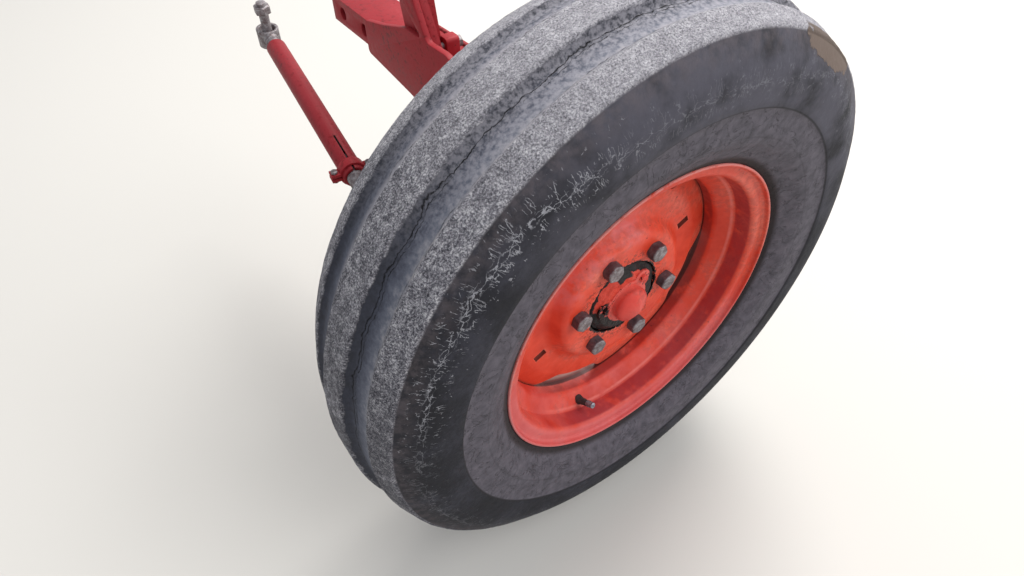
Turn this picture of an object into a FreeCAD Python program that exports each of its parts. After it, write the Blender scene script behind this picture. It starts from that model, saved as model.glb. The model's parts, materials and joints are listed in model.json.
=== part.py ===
"""Right front wheel of a farm tractor with the axle end, steering knuckle and tie rod that carry it.

Millimetres, +X forward, +Y inboard, +Z up. Every piece is drawn about the tyre's centre, and is
moved to its place by put(): the origin of the part is midway between the two beam bolts.
"""
import FreeCAD, Part
import math
import os
from FreeCAD import Vector

# Tyre, 7.50-16 with three ribs, worn: half of the section, the other half is its mirror
TYRE_RADIUS = 394.0
CENTRE_RIB_HALF = 19.8
CENTRE_RIB_FLANK = 6.2
GROOVE_DEPTH = 11.0
GROOVE_FALL = 3.5
GROOVE_HALF_OUT = 52.0
SHOULDER_RIB_FLANK = 7.0
SHOULDER_RIB_DROP = 9.5
SHOULDER_RIB_HALF = 85.3
SHOULDER_DROP = 20.3
RIB_EDGE = 3.0
GROOVE_EDGE = 4.0
SHOULDER_EDGE = 5.0
TYRE_HALF_WIDTH = 105.0
WALL_BULGE = 60.0
RING_LINE_RADIUS = 297.7
RING_STEP = 1.6
LOWER_WALL_TAPER = 3.0
LOWER_WALL_BULGE = 40.0
TYRE_WALL = 11.0
TREAD_WALL = 24.0
TREAD_FLAT_HALF = 45.0
LINER_BEND = 35.0
BEAD_WALL = 14.0
BEAD_RISE = 10.5
BEAD_EDGE = 3.0
BEAD_STEP_OUT = 1.0

# Rim, 5.50F x 16, rolled from sheet
RIM_SEAT_RADIUS = 202.8
RIM_SEAT_TAPER = 2.0
RIM_SEAT_CORNER = 5.0
RIM_HALF_WIDTH = 69.85
RIM_FLANGE_HIGH = 18.7
RIM_LIP_WIDTH = 12.5
RIM_CURL = 9.0
RIM_SHEET = 4.0
RIM_LEDGE_HALF = 46.0
RIM_WELL_HALF = 24.0
RIM_WELL_DEPTH = 20.8
RIM_BEND = 8.0
RIM_FLANGE_RADIUS = RIM_SEAT_RADIUS + RIM_FLANGE_HIGH
RIM_WELL_RADIUS = RIM_SEAT_RADIUS - RIM_WELL_DEPTH

# Wheel disc, pressed plate with four lobes welded inside the rim's well
DISC_FACE = -33.0
DISC_PLATE = 8.0
DISC_BORE_RADIUS = 58.0
DISC_RAISED_RADIUS = 99.0
DISC_STEP_RADIUS = 113.0
DISC_LOBE_DEPTH = 20.5
DISC_DIP_RADIUS = 150.0
DISC_DIP = 8.0
DISC_BEND = 12.0
DISC_NOTCH_DEPTH = 22.0
DISC_NOTCH_CORNER = 9.0
DISC_LOBES = 4
DISC_LOBE_ANGLE = 65.0
DISC_LOBE_HALF_ANGLE = 27.0
SLOT_RADIUS = 132.5
SLOT_LONG = 19.0
SLOT_WIDE = 12.0

# Wheel bolts
BOLT_COUNT = 6
BOLT_CIRCLE = 152.4
BOLT_PHASE = 35.3
BOLT_RADIUS = 8.0
BOLT_CLEARANCE = 0.4
BOLT_HEAD_ACROSS = 24.0
BOLT_HEAD_HIGH = 13.0
BOLT_PROUD = 6.0

# Bearings, seal and hub
BEARING_IN_RADIUS = 38.0
BEARING_IN_START = 60.0
BEARING_IN_LENGTH = 26.0
BEARING_OUT_RADIUS = 28.0
BEARING_OUT_START = -30.0
BEARING_OUT_LENGTH = 18.0
BEARING_SIDE_GAP = 1.0
SEAL_LENGTH = 10.0
SEAL_GAP = 0.3
RUNNING_GAP = 0.05
HUB_FLANGE_RADIUS = 94.0
HUB_FLANGE_THICK = 15.0
HUB_BARREL_WALL = 12.0
HUB_BARREL_STRAIGHT = 16.0
HUB_ROOT = 6.0
HUB_NOSE_WALL = 15.0
HUB_NOSE_LONG = 8.0
HUB_CORE_RADIUS = 31.0
HUB_EDGE = 1.5
NOSE_BORE_CLEARANCE = 8.0

# Hub cap: dome on a plate with three ears
CAP_PLATE = 3.0
CAP_PLATE_RADIUS = 33.0
CAP_EAR_CIRCLE = 38.0
CAP_EAR_RADIUS = 12.0
CAP_EARS = 3
CAP_EAR_ANGLE = 37.0
CAP_DOME_RADIUS = 22.0
CAP_DOME_HIGH = 25.0
CAP_DOME_BEND = 9.0
CAP_SHEET = 2.0
CAP_BOLT_RADIUS = 3.0
CAP_BOLT_HEAD = 10.0
CAP_BOLT_HIGH = 4.0
CAP_BOLT_DEPTH = 10.0

# Valve, through the slope between the rim's ledge and its well
VALVE_ANGLE = 199.0
VALVE_TILT = 26.0
VALVE_HOLE_RADIUS = 5.7
VALVE_INSIDE = 6.0
VALVE_BASE = 4.0
VALVE_NECK = 12.0
VALVE_NECK_RADIUS = 5.5
VALVE_STEM_RADIUS = 4.0
VALVE_LENGTH = 34.0

# Kingpin line: where it crosses the height of the wheel's centre, and how far its top leans inboard
KINGPIN_Y = 215.0
KINGPIN_LEAN = 7.0
KINGPIN_RADIUS = 19.0
KINGPIN_FOOT = -40.0
KINGPIN_PROUD = 5.0
HOUSING_FOOT = 68.0
HOUSING_LENGTH = 137.0
HOUSING_WALL = 16.0
BUSH_WALL = 5.0
BUSH_LENGTH = 45.0
THRUST_THICK = 5.0
THRUST_RADIUS = 36.0
KINGPIN_NUT_ACROSS = 55.0
KINGPIN_NUT_HIGH = 20.0
KINGPIN_WASHER = 5.0
KINGPIN_WASHER_RADIUS = 32.0
FACE_GAP = 0.3
HOUSING_TOP = HOUSING_FOOT + HOUSING_LENGTH
HOUSING_BORE = KINGPIN_RADIUS + BUSH_WALL
HOUSING_RADIUS = HOUSING_BORE + HOUSING_WALL

# Knuckle and stub axle
KNUCKLE_WALL = 19.0
KNUCKLE_SOLE = 4.0
STUB_ROOT_RADIUS = 44.0
STUB_ROOT_TAPER = 6.0
STUB_ROOT_LONG = 20.0
STUB_NECK = 12.0
STUB_SHOULDER_RADIUS = 35.0
STUB_SHOULDER_GAP = 9.0
STUB_SEAL_STEP = 7.5
STUB_IN_RADIUS = 22.5
STUB_OUT_RADIUS = 15.0
STUB_SEAT_MORE = 4.0
STUB_END_LONG = 22.0
STUB_EDGE = 1.0
KNUCKLE_RADIUS = KINGPIN_RADIUS + KNUCKLE_WALL
STUB_SEAL_RADIUS = STUB_IN_RADIUS + STUB_SEAL_STEP
HUB_INNER_END = BEARING_IN_START + BEARING_IN_LENGTH + SEAL_LENGTH

# Steering arm and its ball stud
STUD_X = -183.0
STUD_Y = 290.0
STUD_RADIUS = 9.0
STUD_PROUD = 6.0
STUD_NUT_ACROSS = 27.0
STUD_NUT_HIGH = 14.0
ARM_THICK = 22.0
ARM_LIFT = 24.0
ARM_EYE_RADIUS = 21.0
ARM_ROOT_HALF = 30.0
ARM_TIP_TAPER = 3.0
BALL_LIFT = 9.0
BALL_RADIUS = 13.0
BALL_GAP = 0.3

# Tie rod: ball housings, boots, threaded shanks, tube and its clamp
BALL_HOUSING_WALL = 7.7
BALL_HOUSING_FOOT = -19.0
BALL_HOUSING_TOP = 15.0
THROAT_SLOPE = 1.4
BOOT_WAIST_RADIUS = 19.5
BOOT_TOP_RADIUS = 13.0
BOOT_WALL = 2.5
ROD_FORWARD = 6.2
ROD_RISE = 5.8
ROD_SHANK_RADIUS = 13.5
ROD_SHANK_GAP = 0.3
ROD_SHANK_BARE = 112.0
ROD_SHANK_INSIDE = 58.0
ROD_TUBE_LENGTH = 413.0
ROD_TUBE_RADIUS = 18.5
ROD_SLIT_WIDE = 3.0
ROD_SLIT_LONG = 46.0
INNER_SHANK_BARE = 30.0
CLAMP_SETBACK = 8.0
CLAMP_WIDE = 16.0
CLAMP_WALL = 3.5
CLAMP_EAR = 13.0
CLAMP_EAR_HALF = 6.5
CLAMP_BOLT_RADIUS = 3.0
CLAMP_BOLT_ACROSS = 10.0
CLAMP_BOLT_HIGH = 4.0
BALL_HOUSING_RADIUS = BALL_RADIUS + BALL_GAP + BALL_HOUSING_WALL
BOOT_FOOT_RADIUS = BALL_HOUSING_RADIUS - BOOT_WALL
ROD_TUBE_END = ROD_SHANK_BARE + ROD_TUBE_LENGTH
ROD_INNER_BALL = ROD_TUBE_END + INNER_SHANK_BARE + BALL_HOUSING_RADIUS

# Axle end: box beam between two cheek plates, bolted to the axle by two bolts
BEAM_Z = 148.0
BEAM_WIDE = 80.0
BEAM_HIGH = 44.0
BEAM_WALL = 8.0
BEAM_COPE = 12.0
BEAM_BOLT_Y = 620.0
BEAM_BOLT_PITCH = 80.0
BEAM_BOLT_HOLE = 11.0
CHEEK_PLATE = 10.0
BEAM_END = BEAM_BOLT_Y + BEAM_BOLT_PITCH
BEAM_TOP = BEAM_HIGH / 2

# Outlines of the cheeks and of the post, as distance inboard of the kingpin, height over the beam's
# middle and corner radius. Behind, the cheek runs up into a horn beside the post
CHEEK_LOWER_EDGE = [(-7.0, -72.0, 8.0), (187.0, -39.0, 60.0), (319.0, -24.0, 8.0)]
REAR_CHEEK_TOP = [(319.0, 30.0, 10.0), (257.0, 44.0, 60.0), (179.0, 67.0, 10.0), (129.0, 68.0, 4.0)]
HORN_HEAD = [(215.0, 137.0, 12.0), (165.0, 155.0, 12.0)]
REAR_CHEEK_END = [(117.0, 68.0, 12.0), (67.0, 70.0, 30.0), (29.0, 54.0, 8.0)]
FRONT_CHEEK_TOP = [(319.0, 18.0, 8.0), (97.0, 24.0, 40.0), (29.0, 54.0, 8.0)]
POST_FOOT_OUT = 92.0
POST_FOOT_IN = 185.0
POST_LEAF = 12.0
BACK_LEAF = 18.0
BACK_LEAF_SLOPE = 0.2
STAY_HOLE_INBOARD = 183.0
STAY_HOLE_HIGH = 133.0
STAY_HOLE_RADIUS = 8.0

# Lug on the beam, in front of the post, with its bolt
LUG_INBOARD = 129.0
LUG_WIDE = 24.0
LUG_DEEP = 22.0
LUG_HIGH = 35.0
LUG_EDGE = 6.0
LUG_BOLT_RADIUS = 5.0
LUG_BOLT_ACROSS = 16.0
LUG_BOLT_HIGH = 8.0
LUG_BOLT_DEPTH = 34.0
LUG_BOLT_UP = 22.0

# Every cutter that passes right through a piece is this long
THROUGH = 500.0

AXIS_X = Vector(1, 0, 0)
AXIS_Y = Vector(0, 1, 0)
AXIS_Z = Vector(0, 0, 1)
CENTRE = Vector(0, 0, 0)
SIDE_SHARE = 0.98
SPUN_CORE = 0.01


def corner_runs(points, radii):
    """How far each corner's arc reaches along its two sides. Neighbours share a side that is too short."""
    count = len(points)
    runs = []
    for i in range(count):
        half = (points[i - 1] - points[i]).getAngle(points[(i + 1) % count] - points[i]) / 2
        runs.append(radii[i] / math.tan(half))
    shares = [1.0] * count
    for i in range(count):
        side = (points[i] - points[i - 1]).Length * SIDE_SHARE
        needed = runs[i] + runs[i - 1]
        if needed > side:
            shares[i] = min(shares[i], side / needed)
            shares[i - 1] = min(shares[i - 1], side / needed)
    return [run * share for run, share in zip(runs, shares)]


def rounded_wire(corners, to_point):
    """Closed wire of straight runs and tangent arcs through corners given as (u, v, radius)."""
    spans = []
    count = len(corners)
    points = [Vector(u, v, 0) for u, v, radius in corners]
    runs = corner_runs(points, [radius for u, v, radius in corners])
    for i in range(count):
        here = points[i]
        if runs[i] == 0:
            spans.append((here, None, here))
            continue
        back = points[i - 1] - here
        ahead = points[(i + 1) % count] - here
        back.normalize()
        ahead.normalize()
        half = back.getAngle(ahead) / 2
        radius = runs[i] * math.tan(half)
        middle = back + ahead
        middle.normalize()
        crown = here + middle * (radius / math.sin(half) - radius)
        spans.append((here + back * runs[i], crown, here + ahead * runs[i]))
    edges = []
    for i in range(count):
        start, crown, end = spans[i]
        if crown is not None:
            edges.append(Part.Arc(to_point(start), to_point(crown), to_point(end)).toShape())
        following = spans[(i + 1) % count][0]
        if (following - end).Length > 1e-4:
            edges.append(Part.LineSegment(to_point(end), to_point(following)).toShape())
    return Part.Wire(edges)


def spun(corners):
    """Solid of revolution about the wheel's axis from a section given as (y, radius, rounding)."""
    wire = rounded_wire(corners, lambda p: Vector(0, p.x, p.y))
    return Part.Face(wire).revolve(CENTRE, AXIS_Y, 360)


def turned(corners):
    """Solid of revolution about +Z from a section given as (radius, z, rounding)."""
    wire = rounded_wire(corners, lambda p: Vector(p.x, 0, p.y))
    return Part.Face(wire).revolve(CENTRE, AXIS_Z, 360)


def plate(corners, thick, lift):
    """Flat plate in the XY plane from an outline given as (x, y, rounding)."""
    wire = rounded_wire(corners, lambda p: Vector(p.x, p.y, lift))
    return Part.Face(wire).extrude(AXIS_Z * thick)


def tube(outer, inner, low, high):
    """Round tube along +Z between two heights."""
    body = Part.makeCylinder(outer, high - low, Vector(0, 0, low))
    return body.cut(Part.makeCylinder(inner, high - low, Vector(0, 0, low)))


def drill(radius, at, direction):
    """Round cutter that passes right through, both ways from a point."""
    return Part.makeCylinder(radius, THROUGH, at - direction * (THROUGH / 2), direction)


def hexagon(across, high, at, direction):
    """Hexagonal head or nut from a point along a direction, with the usual 30 degree chamfer on top."""
    corner = across / math.sqrt(3)
    ring = [Vector(corner * math.cos(math.radians(60 * i)), corner * math.sin(math.radians(60 * i)), 0)
            for i in range(7)]
    prism = Part.Face(Part.makePolygon(ring)).extrude(AXIS_Z * high)
    flat = across / 2
    prism = prism.common(Part.makeCone(flat + high * math.sqrt(3), flat, high))
    prism.Placement = FreeCAD.Placement(at, FreeCAD.Rotation(AXIS_Z, direction))
    return prism


def strip(corners, thick):
    """Section of a bent sheet: corners on one side, and the same line set off by its thickness."""
    count = len(corners)
    normals = []
    for i in range(count - 1):
        run = Vector(corners[i + 1][0] - corners[i][0], corners[i + 1][1] - corners[i][1], 0)
        run.normalize()
        normals.append(Vector(run.y, -run.x, 0))
    other = []
    for i in range(count):
        first = normals[max(i - 1, 0)]
        second = normals[min(i, count - 2)]
        mitre = first + second
        mitre = mitre * (thick / (1 + first.dot(second)))
        turn = first.x * second.y - first.y * second.x
        radius = corners[i][2]
        if radius:
            radius = radius + thick if turn > 0 else max(radius - thick, 0.5)
        other.append((corners[i][0] + mitre.x, corners[i][1] + mitre.y, radius))
    return list(corners) + other[::-1]


def around(shape, count, phase=0.0):
    """Copies of a shape spread evenly about the wheel's axis."""
    copies = []
    for i in range(count):
        copy = shape.copy()
        copy.rotate(CENTRE, AXIS_Y, phase + 360.0 / count * i)
        copies.append(copy)
    return copies


def on_kingpin(shape):
    """Moves a piece drawn about +Z from the origin onto the leaning kingpin line."""
    shape.rotate(CENTRE, AXIS_X, -KINGPIN_LEAN)
    shape.translate(Vector(0, KINGPIN_Y, 0))
    return shape


def put(name, *solids):
    """Moves the solids of one piece into the part's frame and writes them."""
    shape = solids[0] if len(solids) == 1 else Part.makeCompound(list(solids))
    shape = shape.copy()
    shape.translate(Vector(0, -BEAM_BOLT_Y, -BEAM_Z))
    shape.exportStep("parts/" + name + ".step")
    print(name, len(shape.Solids), round(shape.Volume / 1000), "cm3", shape.isValid())


def seat_radius(y):
    """Radius of the rim's bead seat, which falls towards the well."""
    return RIM_SEAT_RADIUS - RIM_SEAT_TAPER * (RIM_HALF_WIDTH - y) / (RIM_HALF_WIDTH - RIM_LEDGE_HALF)


def make_tyre():
    """Hollow carcass with two grooves and three ribs, revolved from its section."""
    tread = TYRE_RADIUS
    groove = tread - GROOVE_DEPTH
    shoulder = tread - SHOULDER_DROP
    bead_top = RIM_FLANGE_RADIUS + BEAD_RISE
    liner_top = tread - TREAD_WALL - LINER_BEND
    liner_y = TYRE_HALF_WIDTH - TYRE_WALL
    bead_in = RIM_HALF_WIDTH - BEAD_WALL
    half = [
        (CENTRE_RIB_HALF, tread, RIB_EDGE),
        (CENTRE_RIB_HALF + CENTRE_RIB_FLANK, groove, GROOVE_EDGE),
        (GROOVE_HALF_OUT, groove - GROOVE_FALL, GROOVE_EDGE),
        (GROOVE_HALF_OUT + SHOULDER_RIB_FLANK, tread - SHOULDER_RIB_DROP, RIB_EDGE),
        (SHOULDER_RIB_HALF, shoulder, SHOULDER_EDGE),
        (TYRE_HALF_WIDTH, (shoulder + RING_LINE_RADIUS) / 2, WALL_BULGE),
        (TYRE_HALF_WIDTH, RING_LINE_RADIUS, 0.0),
        (TYRE_HALF_WIDTH - RING_STEP, RING_LINE_RADIUS - RING_STEP, 0.0),
        (TYRE_HALF_WIDTH - LOWER_WALL_TAPER, (RING_LINE_RADIUS + RIM_FLANGE_RADIUS) / 2, LOWER_WALL_BULGE),
        (RIM_HALF_WIDTH + RIM_CURL + BEAD_STEP_OUT, RIM_FLANGE_RADIUS, 0.0),
        (RIM_HALF_WIDTH, RIM_FLANGE_RADIUS, RIM_CURL),
        (RIM_HALF_WIDTH, RIM_SEAT_RADIUS, RIM_SEAT_CORNER),
        (bead_in, seat_radius(bead_in), BEAD_EDGE),
        (bead_in + BEAD_EDGE, bead_top, LINER_BEND / 4),
        (liner_y, bead_top + (liner_top - bead_top) / 2, LINER_BEND),
        (liner_y, liner_top, LINER_BEND),
        (TREAD_FLAT_HALF, tread - TREAD_WALL, LINER_BEND / 2),
    ]
    other = [(-y, r, k) for y, r, k in reversed(half)]
    return spun(half + other)


def rim_line():
    """Corners of the rim's tyre side from the outboard lip to the inboard one."""
    half = [
        (RIM_HALF_WIDTH + RIM_LIP_WIDTH, RIM_FLANGE_RADIUS, 0.0),
        (RIM_HALF_WIDTH, RIM_FLANGE_RADIUS, RIM_CURL),
        (RIM_HALF_WIDTH, RIM_SEAT_RADIUS, RIM_SEAT_CORNER),
        (RIM_LEDGE_HALF, RIM_SEAT_RADIUS - RIM_SEAT_TAPER, RIM_BEND),
        (RIM_WELL_HALF, RIM_WELL_RADIUS, RIM_BEND),
    ]
    outboard = [(-y, r, k) for y, r, k in half]
    return outboard + half[::-1]


def valve_line(shape):
    """Moves a piece drawn about +Z onto the valve's line, its foot in the middle of the rim's slope."""
    foot_y = -(RIM_LEDGE_HALF + RIM_WELL_HALF) / 2
    foot_radius = (RIM_SEAT_RADIUS - RIM_SEAT_TAPER + RIM_WELL_RADIUS - RIM_SHEET) / 2
    shape.rotate(CENTRE, AXIS_X, 90.0 + VALVE_TILT)
    shape.translate(Vector(0, foot_y, foot_radius))
    shape.rotate(CENTRE, AXIS_Y, VALVE_ANGLE)
    return shape


def make_rim():
    rim = spun(strip(rim_line(), RIM_SHEET))
    reach = VALVE_LENGTH
    return rim.cut(valve_line(Part.makeCylinder(VALVE_HOLE_RADIUS, 2 * reach, Vector(0, 0, -reach))))


def make_valve():
    """Rubber base that fills the rim's hole, and the stem up to its cap."""
    stem = turned([
        (0.0, -VALVE_INSIDE, 0.0),
        (VALVE_HOLE_RADIUS, -VALVE_INSIDE, 0.0),
        (VALVE_HOLE_RADIUS, VALVE_BASE, 0.0),
        (VALVE_NECK_RADIUS, VALVE_NECK, 0.0),
        (VALVE_STEM_RADIUS, 2 * VALVE_NECK, 0.0),
        (VALVE_STEM_RADIUS, VALVE_LENGTH, VALVE_STEM_RADIUS / 4),
        (0.0, VALVE_LENGTH, 0.0),
    ])
    return valve_line(stem)


def make_disc():
    """Pressed disc: revolved sheet, notched between its lobes, with bolt holes and two slots."""
    lobe_y = DISC_FACE + DISC_LOBE_DEPTH
    edge = RIM_WELL_RADIUS - RIM_SHEET
    line = [
        (DISC_FACE, DISC_BORE_RADIUS, 0.0),
        (DISC_FACE, DISC_RAISED_RADIUS, DISC_BEND),
        (lobe_y, DISC_STEP_RADIUS, DISC_BEND),
        (lobe_y, DISC_DIP_RADIUS, 2 * DISC_BEND),
        (lobe_y + DISC_DIP, edge, 0.0),
    ]
    disc = spun(strip(line, DISC_PLATE)).common(drill(edge, CENTRE, AXIS_Y))
    notch_half = 180.0 / DISC_LOBES - DISC_LOBE_HALF_ANGLE
    foot = edge - DISC_NOTCH_DEPTH
    section = rounded_wire([
        (-RIM_HALF_WIDTH, foot, 0.0),
        (RIM_HALF_WIDTH, foot, 0.0),
        (RIM_HALF_WIDTH, edge + DISC_PLATE, 0.0),
        (-RIM_HALF_WIDTH, edge + DISC_PLATE, 0.0),
    ], lambda p: Vector(0, p.x, p.y))
    ring = Part.Face(section).revolve(CENTRE, AXIS_Y, 2 * notch_half)
    lengthwise = [side for side in ring.Edges if side.BoundBox.YLength > RIM_HALF_WIDTH]
    corners = [side for side in lengthwise if side.distToShape(Part.Vertex(CENTRE))[0] < edge - DISC_NOTCH_CORNER]
    ring = ring.makeFillet(DISC_NOTCH_CORNER, corners)
    ring.rotate(CENTRE, AXIS_Y, -notch_half)
    notches = around(ring, DISC_LOBES, DISC_LOBE_ANGLE + 180.0 / DISC_LOBES)
    bolt_hole = drill(BOLT_RADIUS + BOLT_CLEARANCE, Vector(0, 0, BOLT_CIRCLE / 2), AXIS_Y)
    holes = around(bolt_hole, BOLT_COUNT, BOLT_PHASE)
    corner = Vector(-SLOT_WIDE / 2, -THROUGH / 2, SLOT_RADIUS - SLOT_LONG / 2)
    slots = around(Part.makeBox(SLOT_WIDE, THROUGH, SLOT_LONG, corner), 2, DISC_LOBE_ANGLE)
    return disc.cut(notches + holes + slots)


def make_wheel_bolts():
    shank_long = DISC_PLATE + HUB_FLANGE_THICK + BOLT_PROUD
    at = Vector(0, DISC_FACE, BOLT_CIRCLE / 2)
    head = hexagon(BOLT_HEAD_ACROSS, BOLT_HEAD_HIGH, at, -AXIS_Y)
    bolt = head.fuse(Part.makeCylinder(BOLT_RADIUS, shank_long, at, AXIS_Y))
    return around(bolt, BOLT_COUNT, BOLT_PHASE)


def make_hub():
    """Flange behind the disc, nose through its bore, and a barrel bored for the two bearings."""
    back = DISC_FACE + DISC_PLATE
    barrel = BEARING_IN_RADIUS + HUB_BARREL_WALL
    nose = BEARING_OUT_RADIUS + HUB_NOSE_WALL
    nose_bore = STUB_OUT_RADIUS + NOSE_BORE_CLEARANCE
    out_end = BEARING_OUT_START + BEARING_OUT_LENGTH
    hub = spun([
        (nose_face(), nose_bore, 0.0),
        (nose_face(), nose, HUB_EDGE),
        (back, nose, 0.0),
        (back, HUB_FLANGE_RADIUS, HUB_EDGE),
        (back + HUB_FLANGE_THICK, HUB_FLANGE_RADIUS, HUB_EDGE),
        (back + HUB_FLANGE_THICK + HUB_ROOT, barrel + HUB_ROOT, HUB_ROOT),
        (HUB_INNER_END - HUB_BARREL_STRAIGHT, barrel, 0.0),
        (HUB_INNER_END, barrel, HUB_EDGE),
        (HUB_INNER_END, BEARING_IN_RADIUS, 0.0),
        (BEARING_IN_START, BEARING_IN_RADIUS, 0.0),
        (BEARING_IN_START, HUB_CORE_RADIUS, 0.0),
        (out_end + HUB_EDGE, HUB_CORE_RADIUS, 0.0),
        (out_end, BEARING_OUT_RADIUS, 0.0),
        (BEARING_OUT_START, BEARING_OUT_RADIUS, 0.0),
        (BEARING_OUT_START - HUB_EDGE, nose_bore, 0.0),
    ])
    bolt_holes = around(drill(BOLT_RADIUS, Vector(0, 0, BOLT_CIRCLE / 2), AXIS_Y), BOLT_COUNT, BOLT_PHASE)
    cap_hole = Part.makeCylinder(CAP_BOLT_RADIUS, CAP_BOLT_DEPTH, Vector(0, nose_face(), CAP_EAR_CIRCLE), AXIS_Y)
    return hub.cut(bolt_holes + around(cap_hole, CAP_EARS, CAP_EAR_ANGLE))


def nose_face():
    """Where the hub's nose ends outboard, which is where the cap's plate sits."""
    return BEARING_OUT_START - HUB_NOSE_LONG


def ring_about_axle(inner, outer, low, high):
    body = Part.makeCylinder(outer, high - low, Vector(0, low, 0), AXIS_Y)
    return body.cut(Part.makeCylinder(inner, high - low, Vector(0, low, 0), AXIS_Y))


def make_hub_cap():
    """Dome pressed from sheet, on a plate whose three ears are bolted to the hub's nose."""
    rise = nose_face() - CAP_PLATE
    foot = Vector(0, rise, 0)
    ear_at = Vector(0, rise, CAP_EAR_CIRCLE)
    disc = Part.makeCylinder(CAP_PLATE_RADIUS, CAP_PLATE, foot, AXIS_Y)
    ear = Part.makeCylinder(CAP_EAR_RADIUS, CAP_PLATE, ear_at, AXIS_Y)
    web = Part.makeBox(2 * CAP_EAR_RADIUS, CAP_PLATE, CAP_EAR_CIRCLE, foot - AXIS_X * CAP_EAR_RADIUS)
    flange = disc.multiFuse(around(ear.fuse(web), CAP_EARS, CAP_EAR_ANGLE)).removeSplitter()
    bolt = drill(CAP_BOLT_RADIUS, ear_at, AXIS_Y)
    flange = flange.cut([drill(CAP_DOME_RADIUS - CAP_SHEET, CENTRE, AXIS_Y)] + around(bolt, CAP_EARS, CAP_EAR_ANGLE))
    crown = rise - CAP_DOME_HIGH
    dome = spun([
        (rise, CAP_DOME_RADIUS - CAP_SHEET, 0.0),
        ((rise + crown + CAP_SHEET) / 2, CAP_DOME_RADIUS - CAP_SHEET, CAP_DOME_BEND),
        (crown + CAP_SHEET, SPUN_CORE, 0.0),
        (crown, SPUN_CORE, 0.0),
        ((rise + crown) / 2, CAP_DOME_RADIUS, CAP_DOME_BEND),
        (rise, CAP_DOME_RADIUS, 0.0),
    ])
    return flange.fuse(dome)


def make_cap_bolts():
    at = Vector(0, nose_face() - CAP_PLATE, CAP_EAR_CIRCLE)
    head = hexagon(CAP_BOLT_HEAD, CAP_BOLT_HIGH, at, -AXIS_Y)
    shank = Part.makeCylinder(CAP_BOLT_RADIUS, CAP_PLATE + CAP_BOLT_DEPTH, at, AXIS_Y)
    return around(head.fuse(shank), CAP_EARS, CAP_EAR_ANGLE)


def make_kingpin():
    top = HOUSING_TOP + KINGPIN_WASHER + KINGPIN_NUT_HIGH + KINGPIN_PROUD
    return on_kingpin(Part.makeCylinder(KINGPIN_RADIUS, top - KINGPIN_FOOT, Vector(0, 0, KINGPIN_FOOT)))


def make_kingpin_nut():
    nut = hexagon(KINGPIN_NUT_ACROSS, KINGPIN_NUT_HIGH, Vector(0, 0, HOUSING_TOP + KINGPIN_WASHER), AXIS_Z)
    return on_kingpin(nut.cut(drill(KINGPIN_RADIUS, CENTRE, AXIS_Z)))


def make_bushes():
    outer, inner = HOUSING_BORE, KINGPIN_RADIUS + RUNNING_GAP
    low = tube(outer, inner, HOUSING_FOOT, HOUSING_FOOT + BUSH_LENGTH)
    high = tube(outer, inner, HOUSING_TOP - BUSH_LENGTH, HOUSING_TOP)
    return on_kingpin(low), on_kingpin(high)


def make_knuckle():
    """Forging: boss round the kingpin's foot and the stepped stub axle."""
    top = HOUSING_FOOT - THRUST_THICK
    sole = KINGPIN_FOOT - KNUCKLE_SOLE
    boss = on_kingpin(Part.makeCylinder(KNUCKLE_RADIUS, top - sole, Vector(0, 0, sole)))
    in_end = BEARING_IN_START + BEARING_IN_LENGTH
    out_end = BEARING_OUT_START + BEARING_OUT_LENGTH
    shoulder = HUB_INNER_END + STUB_SHOULDER_GAP
    end = BEARING_OUT_START - STUB_END_LONG
    stub = spun([
        (KINGPIN_Y, 0.0, 0.0),
        (KINGPIN_Y, STUB_ROOT_RADIUS - STUB_ROOT_TAPER, 0.0),
        (KINGPIN_Y - STUB_ROOT_LONG, STUB_ROOT_RADIUS, STUB_ROOT_TAPER),
        (shoulder + STUB_NECK, STUB_SHOULDER_RADIUS, STUB_NECK - 2 * STUB_EDGE),
        (shoulder, STUB_SHOULDER_RADIUS, STUB_EDGE),
        (shoulder, STUB_SEAL_RADIUS, STUB_EDGE),
        (in_end, STUB_SEAL_RADIUS, STUB_EDGE),
        (in_end, STUB_IN_RADIUS, STUB_EDGE),
        (BEARING_IN_START - STUB_SEAT_MORE, STUB_IN_RADIUS, STUB_EDGE),
        (out_end + STUB_EDGE, STUB_OUT_RADIUS, STUB_EDGE),
        (end, STUB_OUT_RADIUS, 2 * STUB_EDGE),
        (end, 0.0, 0.0),
    ])
    return boss.fuse(stub).cut(on_kingpin(Part.makeCylinder(KINGPIN_RADIUS, THROUGH, Vector(0, 0, KINGPIN_FOOT))))


def arm_outline():
    """Steering arm seen along the kingpin: from the boss back to the eye, as (x, y, radius)."""
    side = STUD_Y - KINGPIN_Y
    along = Vector(STUD_X, side, 0)
    along.normalize()
    across = Vector(-along.y, along.x, 0)
    tip = Vector(STUD_X, side, 0)
    wide = ARM_EYE_RADIUS - ARM_TIP_TAPER
    corners = [across * ARM_ROOT_HALF, tip + across * wide, tip - across * wide, across * -ARM_ROOT_HALF]
    return [(corner.x, corner.y, 0.0) for corner in corners]


def make_steering_arm():
    lift = ARM_LIFT + BALL_LIFT
    eye_at = Vector(STUD_X, STUD_Y - KINGPIN_Y, lift)
    eye = Part.makeCylinder(ARM_EYE_RADIUS, ARM_THICK, eye_at)
    arm = plate(arm_outline(), ARM_THICK, lift).fuse(eye).removeSplitter()
    return on_kingpin(arm.cut([drill(KNUCKLE_RADIUS, CENTRE, AXIS_Z), drill(STUD_RADIUS, eye_at, AXIS_Z)]))


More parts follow.
